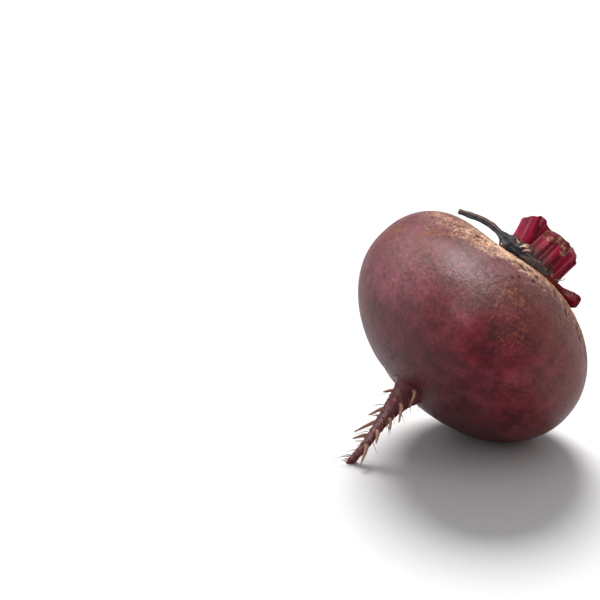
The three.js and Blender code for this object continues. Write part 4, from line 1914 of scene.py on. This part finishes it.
@dataclass(frozen=True)
class ClubStalk(SweptStrand):
    """The short shrivelled stalk on the other side, which ends in a red club."""

    name: str = "shrivelled_club"
    path: tuple[Spot, ...] = (
        Spot(262, 11.6, 28.2), Spot(281, 13.3, 29), Spot(293, 15.1, 29.5), Spot(300, 17.7, 29.9),
        Spot(305, 21.6, 31),
    )
    finish: DriedTissue = SHRIVELLED
    half_width: float = 2.4
    half_thickness: float = 2.3
    rib_depth: float = 0.05
    shrivel: float = 1.0
    shrivel_size: float = 2.6
    seed: float = 6.0

    def shares(self) -> Array:
        """Its steps, closer together towards the club's end."""
        return 1 - (1 - np.linspace(0, 1, self.steps)) ** 1.3

    def width(self, t: Array) -> Array:
        """Its width along it: a thin neck, then the club's round end.

        Args:
            t: Shares of its length.

        Returns:
            Shares of its size.
        """
        swelling = 0.56 + 0.56 * smoothstep(t, 0.45, 0.8)
        rounding = np.sqrt(np.maximum(1 - smoothstep(t, 0.82, 1.06) ** 2, 0))
        return swelling * rounding * (1 - 0.93 * smoothstep(t, 0.985, 1.0))

    def accent(self, upper: Array, radius: Array) -> Array:
        """Brown at its neck."""
        return 0.8 * (1 - smoothstep(radius, 14, 18))


@dataclass(frozen=True)
class Whisker(SweptStrand):
    """A pale torn thread of stalk skin that stands out from the foot of the fourth stub."""

    name: str = "skin_whisker"
    path: tuple[Spot, ...] = (
        Spot(304, 8.4, 31), Spot(307, 9.9, 33.1), Spot(314, 11, 34.6), Spot(320, 11.2, 36.7),
    )
    finish: DriedTissue = WHISKER
    half_width: float = 0.6
    half_thickness: float = 0.22
    rib_depth: float = 0.06
    shrivel: float = 0.3
    shrivel_size: float = 1.5
    seed: float = 9.0
    ribs: float = 4.0
    sides: int = 14
    steps: int = 40

    def width(self, t: Array) -> Array:
        """Its width along it: thinner towards its tip."""
        return 1 - 0.65 * smoothstep(t, 0.25, 0.95)


@dataclass
class DryLeafBases:
    """The crumbled ring of old leaf bases round the rosette, with the torn scales that stand up from it."""

    radius: float = 10.9
    height: float = 28.2
    half_width: float = 1.9
    half_height: float = 1.7
    crumble: float = 0.51
    scales: int = 14
    scale_length: float = 4.1
    scale_width: float = 5.4
    small_scales: int = 34
    small_reach: Pair = (-1.2, 1.6)
    small_lean: Pair = (0.1, 1.5)
    small_width: Pair = (1.4, 3.0)
    small_curl: float = 2.4
    small_length: Pair = (1.4, 3.1)
    small_twist: Pair = (-40, 40)
    upright_scales: tuple[int, ...] = (6, 12)

    def ring(self) -> Thing:
        """The crumbled ring.

        Returns:
            The object.
        """
        sides, around = 40, 300
        turn = np.linspace(0, 360, around, endpoint=False)
        lean = angles_round(sides)
        ring = direction(turn)[:, None] * (self.radius + self.half_width * np.cos(lean))[None, :, None]
        ring[..., 2] = self.height + self.half_height * np.sin(lean)[None]
        own = ring.reshape(-1, 3)
        core = direction(np.repeat(turn, sides)) * self.radius + np.array([0, 0, self.height])
        lumps = smooth_noise(own, 1.5, 31) + 0.6 * smooth_noise(own, 0.8, 32)
        own = own + unit(own - core) * (self.crumble * lumps)[:, None]
        faces = []
        for i, j in itertools.product(range(around), range(sides)):
            near, after = (i + 1) % around, (j + 1) % sides
            faces.append([i * sides + j, near * sides + j, near * sides + after, i * sides + after])
        return make_object("dry_leaf_base_ring", LYING.to_row(own), faces)

    def scale_places(self) -> tuple[list[tuple[Array, Array]], list[Triple], list[float]]:
        """Where the scales stand.

        Returns:
            Place and facing of each, the sizes, and the azimuths.
        """
        places, sizes, azimuths = [], [], []
        for i in range(self.scales):
            azimuth = 360 / self.scales * (i + 0.35 * math.sin(5 * i))
            length = self.scale_length * (1 + 0.37 * math.sin(7.3 * i + 1))
            lean = 0.3 if i in self.upright_scales else 1 + 0.9 * math.cos(3.1 * i)
            outward = direction(azimuth)
            facing = outward * (lean + 0.4) / length + np.array([0, 0, 0.95])
            places.append((outward * (self.radius - 0.2) + np.array([0, 0, self.height - 0.3]), facing))
            sizes.append((self.scale_width, self.scale_width * 0.9, length * 0.98))
            azimuths.append(azimuth)
        chance = np.random.default_rng(9)
        for _ in range(self.small_scales):
            azimuth = chance.uniform(0, 360)
            outward = direction(azimuth)
            reach = self.radius + chance.uniform(*self.small_reach)
            facing = outward * chance.uniform(*self.small_lean) + np.array([0, 0, 1.0])
            places.append((outward * reach + np.array([0, 0, self.height + 0.2]), facing))
            width, length = chance.uniform(*self.small_width), chance.uniform(*self.small_length)
            sizes.append((width, self.small_curl, length))
            azimuths.append(azimuth + chance.uniform(*self.small_twist))
        return places, sizes, azimuths

    def build(self, placed: Tree) -> list[Thing]:
        """Makes the ring and its scales.

        Args:
            placed: The tree that sets pieces at points.

        Returns:
            The ring, then the scales.
        """
        finish = CRUMBLED.build()
        ring = self.ring()
        ring.data.materials.append(finish)
        places, sizes, azimuths = self.scale_places()
        scales = points_object("dry_leaf_scales", places, sizes)
        self.face_outwards(scales, places, azimuths)
        scale = torn_scale("one_scale")
        grow(scales, placed, {"Piece": scale, "Size Spread": 0.08, "Seed": 8, "Finish": finish})
        bpy.data.objects.remove(scale)
        return [ring, scales]

    @staticmethod
    def face_outwards(
        scales: Thing, places: Sequence[tuple[Array, Array]], azimuths: Sequence[float]
    ) -> None:
        """Turns each scale's back to face away from the rosette.

        Args:
            scales: The scales' points.
            places: Place and facing of each.
            azimuths: Where each one's back faces.
        """
        turn = LYING.turn()
        eulers = []
        for (_, facing), azimuth in zip(places, azimuths):
            up = turn @ unit(facing)
            side = unit(np.cross(turn @ direction(azimuth), up))
            eulers.append(Matrix(np.stack([side, np.cross(up, side), up], axis=1).tolist()).to_euler())
        scales.data.attributes["turn"].data.foreach_set("vector", np.array(eulers, np.float32).ravel())


@dataclass(frozen=True)
class TornFlap:
    """A small torn leaf base: a thin flap from a root that is sunk in the crown to a pointed tip."""

    name: str
    path: tuple[Spot, ...]
    width: float
    finish: DriedTissue
    thickness: float = 0.16
    facing: float = 235.0
    steps: int = 22
    sides: int = 16

    def build(self) -> Thing:
        """Makes the flap.

        Returns:
            The finished object.
        """
        share = np.linspace(0, 1, self.steps)
        path = SmoothPath(self.path)
        _, side, back = path.axes(share, self.facing)
        t = share[:, None]
        angle = angles_round(self.sides)[None]
        half = self.width / 2 * (1 - 0.9 * t**1.6) * (1 + 0.1 * np.sin(11 * t))
        thick = self.thickness * (1 - 0.6 * t) * np.sin(angle)
        grid = path.at(share)[:, None] + side[:, None] * (half * np.cos(angle))[..., None]
        grid = grid + back[:, None] * thick[..., None]
        own = with_poles(grid)
        own = own + direction(self.facing) * (0.1 * smooth_noise(own, 0.9, 61))[:, None]
        made = make_object(self.name, LYING.to_row(own), closed_grid(self.steps, self.sides))
        made.data.materials.append(self.finish.build())
        return made


PAPERY_PATH = (Spot(199, 8.2, 33), Spot(206, 11.9, 31.9), Spot(206, 14.2, 30.3), Spot(204.5, 15.1, 28.6))
ROSY_PATH = (Spot(214, 11, 29.2), Spot(216.5, 13.2, 30.3), Spot(212, 13.8, 29.6), Spot(209.6, 13.9, 28.2))
TANNED_PATH = (
    Spot(200, 13.2, 29.8), Spot(198.6, 14.8, 29.8), Spot(194.4, 15.1, 30.4), Spot(192, 15.7, 30.9),
)
FLAPS = (
    TornFlap("papery_flap", PAPERY_PATH, 2.2, PAPERY),
    TornFlap("rosy_flap", ROSY_PATH, 1.5, ROSY),
    TornFlap("tanned_flap", TANNED_PATH, 1.5, TANNED),
)


# The studio


@dataclass(frozen=True)
class Softbox:
    """A square light that points at the beetroot's middle, for its shading, its sheen or both."""

    name: str
    place: Triple
    size: float
    watts: float
    tint: str = "#ffffff"
    shades: bool = True
    shines: bool = True


@dataclass
class Studio:
    """A plain pale table, soft lights and the camera."""

    table_size: float = 14.0
    table_colour: str = "#f4f3f2"
    paper_roughness: Run = (0.3, 0.7, 0.5, 0.56)
    sky_turn: Pair = (-0.35, 0.45)
    sky_behind: float = 0.5
    sky_in_front: float = 0.33
    sky_tint: str = "#fbfcff"
    focus: Triple = (0.0, 0.0, 0.04)
    picture: float = 600.0
    field_of_view: float = 20.0
    mm_per_pixel: float = 0.343
    camera_fall: float = 16.0
    root_pixel: Pair = (471.0, 328.0)
    key_strength: float = 4.6
    key_width: float = 26.0
    key_from: Triple = (-0.1, 0.8, 0.72)
    lights: tuple[Softbox, ...] = (
        Softbox("left_softbox", (-0.75, 0.05, 0.62), 0.5, 6.4, shines=False),
        Softbox("overhead_softbox", (-0.08, -0.3, 0.75), 0.5, 5.3, shines=False),
        Softbox("low_softbox", (0.2, -0.75, 0.04), 0.5, 5.0, "#ffeee0", shines=False),
        Softbox("side_softbox", (0.8, 0.25, 0.25), 0.5, 1.5, "#ffe0c4", shines=False),
        Softbox("sheen_softbox", (-0.03, -0.3, 0.75), 0.36, 34.0, shades=False),
        Softbox("left_sheen_softbox", (-0.5, 0.05, 0.62), 0.5, 9.0, "#fff0e4", shades=False),
    )

    def build(self) -> None:
        """Makes the table, the lights, the world and the camera."""
        half = self.table_size / 2
        corners = np.array([[-half, -half, 0], [half, -half, 0], [half, half, 0], [-half, half, 0]])
        table = make_object("table", corners, [[0, 1, 2, 3]])
        material, tree, shader = new_material("pale_paper")
        place = add_node(tree, "ShaderNodeTexCoord").outputs["Object"]
        fibre = add_node(tree, "ShaderNodeTexNoise", {"Vector": place, "Scale": 300.0, "Detail": 3.0})
        tone = add_node(tree, "ShaderNodeMapRange", ranged(fibre, self.paper_roughness))
        tree.links.new(tone.outputs[0], shader.inputs["Roughness"])
        shader.inputs["Base Color"].default_value = linear(self.table_colour)
        table.data.materials.append(material)
        self.light_room()
        # The softboxes leave the table out, so that they brighten the root and not its shadow.
        unlit = bpy.data.collections.new("kept_dark")
        unlit.objects.link(table)
        unlit.collection_objects[0].light_linking.link_state = "EXCLUDE"
        for light in self.lights:
            self.hang(light).light_linking.receiver_collection = unlit
        self.aim_camera()
        bpy.context.scene.view_settings.view_transform = "Standard"

    def light_room(self) -> None:
        """Makes the room bright behind the beetroot and dim in front of it, and adds the wide key light."""
        world = bpy.data.worlds.new("pale_studio")
        world.use_nodes = True
        tree = world.node_tree
        way = add_node(tree, "ShaderNodeTexCoord").outputs["Generated"]
        way = add_node(tree, "ShaderNodeSeparateXYZ", {"Vector": way}).outputs["Y"]
        run = ranged(way, (*self.sky_turn, self.sky_in_front, self.sky_behind))
        strength = add_node(tree, "ShaderNodeMapRange", run, interpolation_type="SMOOTHSTEP")
        background = tree.nodes["Background"]
        tree.links.new(strength.outputs[0], background.inputs["Strength"])
        background.inputs["Color"].default_value = linear(self.sky_tint)
        bpy.context.scene.world = world
        lamp = bpy.data.lights.new("wide_key", "SUN")
        lamp.energy, lamp.angle = self.key_strength, math.radians(self.key_width)
        lamp_object = linked("wide_key", lamp)
        lamp_object.rotation_euler = Vector(self.key_from).to_track_quat("Z", "Y").to_euler()
        lamp_object.visible_glossy = False

    def hang(self, box: Softbox) -> Thing:
        """Hangs a light and points it at the beetroot.

        Args:
            box: The light.

        Returns:
            Its object.
        """
        lamp = bpy.data.lights.new(box.name, "AREA")
        lamp.size, lamp.energy = box.size, box.watts
        lamp.color = linear(box.tint)[:3]
        lamp_object = linked(box.name, lamp)
        lamp_object.location = box.place
        lamp_object.visible_diffuse, lamp_object.visible_glossy = box.shades, box.shines
        aim = Vector(self.focus) - Vector(box.place)
        lamp_object.rotation_euler = aim.to_track_quat("-Z", "Y").to_euler()
        return lamp_object

    def aim_camera(self) -> None:
        """Sets the camera so that the root's middle falls on its pixel at the photograph's angle."""
        focal = self.picture / 2 / math.tan(math.radians(self.field_of_view / 2))
        right_share = (self.root_pixel[0] - self.picture / 2) / focal
        up_share = (self.picture / 2 - self.root_pixel[1]) / focal
        yaw = math.atan2(right_share, 1)
        pitch = -math.radians(self.camera_fall) - math.atan2(up_share, math.hypot(1, right_share))
        ahead = Vector((-math.sin(yaw) * math.cos(pitch), math.cos(yaw) * math.cos(pitch), math.sin(pitch)))
        right = ahead.cross(Vector((0, 0, 1))).normalized()
        up = right.cross(ahead)
        ray = ahead + right_share * right + up_share * up
        away = focal * self.mm_per_pixel * MM * ray.length
        camera = bpy.data.cameras.new("camera")
        camera.angle = math.radians(self.field_of_view)
        camera.clip_start = 0.01
        camera_object = linked("camera", camera)
        camera_object.location = Vector(LYING.centre) * MM - ray.normalized() * away
        turned = Matrix((right, up, -ahead)).transposed()
        camera_object.rotation_euler = turned.to_euler()
        bpy.context.scene.camera = camera_object


# Assembly


def hand_over(piece: Thing, slot: Slot, *nodes: str) -> None:
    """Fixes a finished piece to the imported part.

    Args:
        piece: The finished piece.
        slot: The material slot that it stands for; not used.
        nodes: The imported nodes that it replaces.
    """
    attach(piece, "root")
    if nodes:
        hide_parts(*nodes)
    count = sum(len(face.vertices) - 2 for face in piece.data.polygons)
    LOG.info("%s: %d triangles", piece.name, count)


def main() -> None:
    """Builds every piece, then the studio."""
    logging.basicConfig(level=logging.INFO, format="%(message)s")
    strand, placed = strand_tree(), placed_tree()
    root = SwollenRoot()
    skin = root.build(RootSkin().build(), relief_tree())
    hand_over(skin, Slot.ROOT_SKIN, "swollen_root")
    hand_over(CorkFlecks().build(skin), Slot.ROOT_SKIN)
    for piece in Rootlets(root).build(strand):
        hand_over(piece, Slot.ROOT_SKIN)
    *stubs, strands = Rosette().build(placed)
    for number, piece in enumerate(stubs, start=1):
        hand_over(piece, Slot.LEAF_STALK, f"stalk_stub_{number}")
    hand_over(strands, Slot.LEAF_STALK)
    hand_over(WitheredStalk().build(strand), Slot.CHARRED_STALK, "withered_stalk")
    hand_over(ClubStalk().build(strand), Slot.SHRIVELLED_STALK, "withered_club_stalk")
    ring, scales = DryLeafBases().build(placed)
    hand_over(ring, Slot.DRY_LEAF_BASE, "dry_leaf_bases")
    hand_over(scales, Slot.DRY_LEAF_BASE)
    for flap in FLAPS:
        hand_over(flap.build(), Slot.DRY_LEAF_BASE)
    hand_over(Whisker().build(strand), Slot.LEAF_STALK)
    Studio().build()


if __name__ == "__main__":
    main()
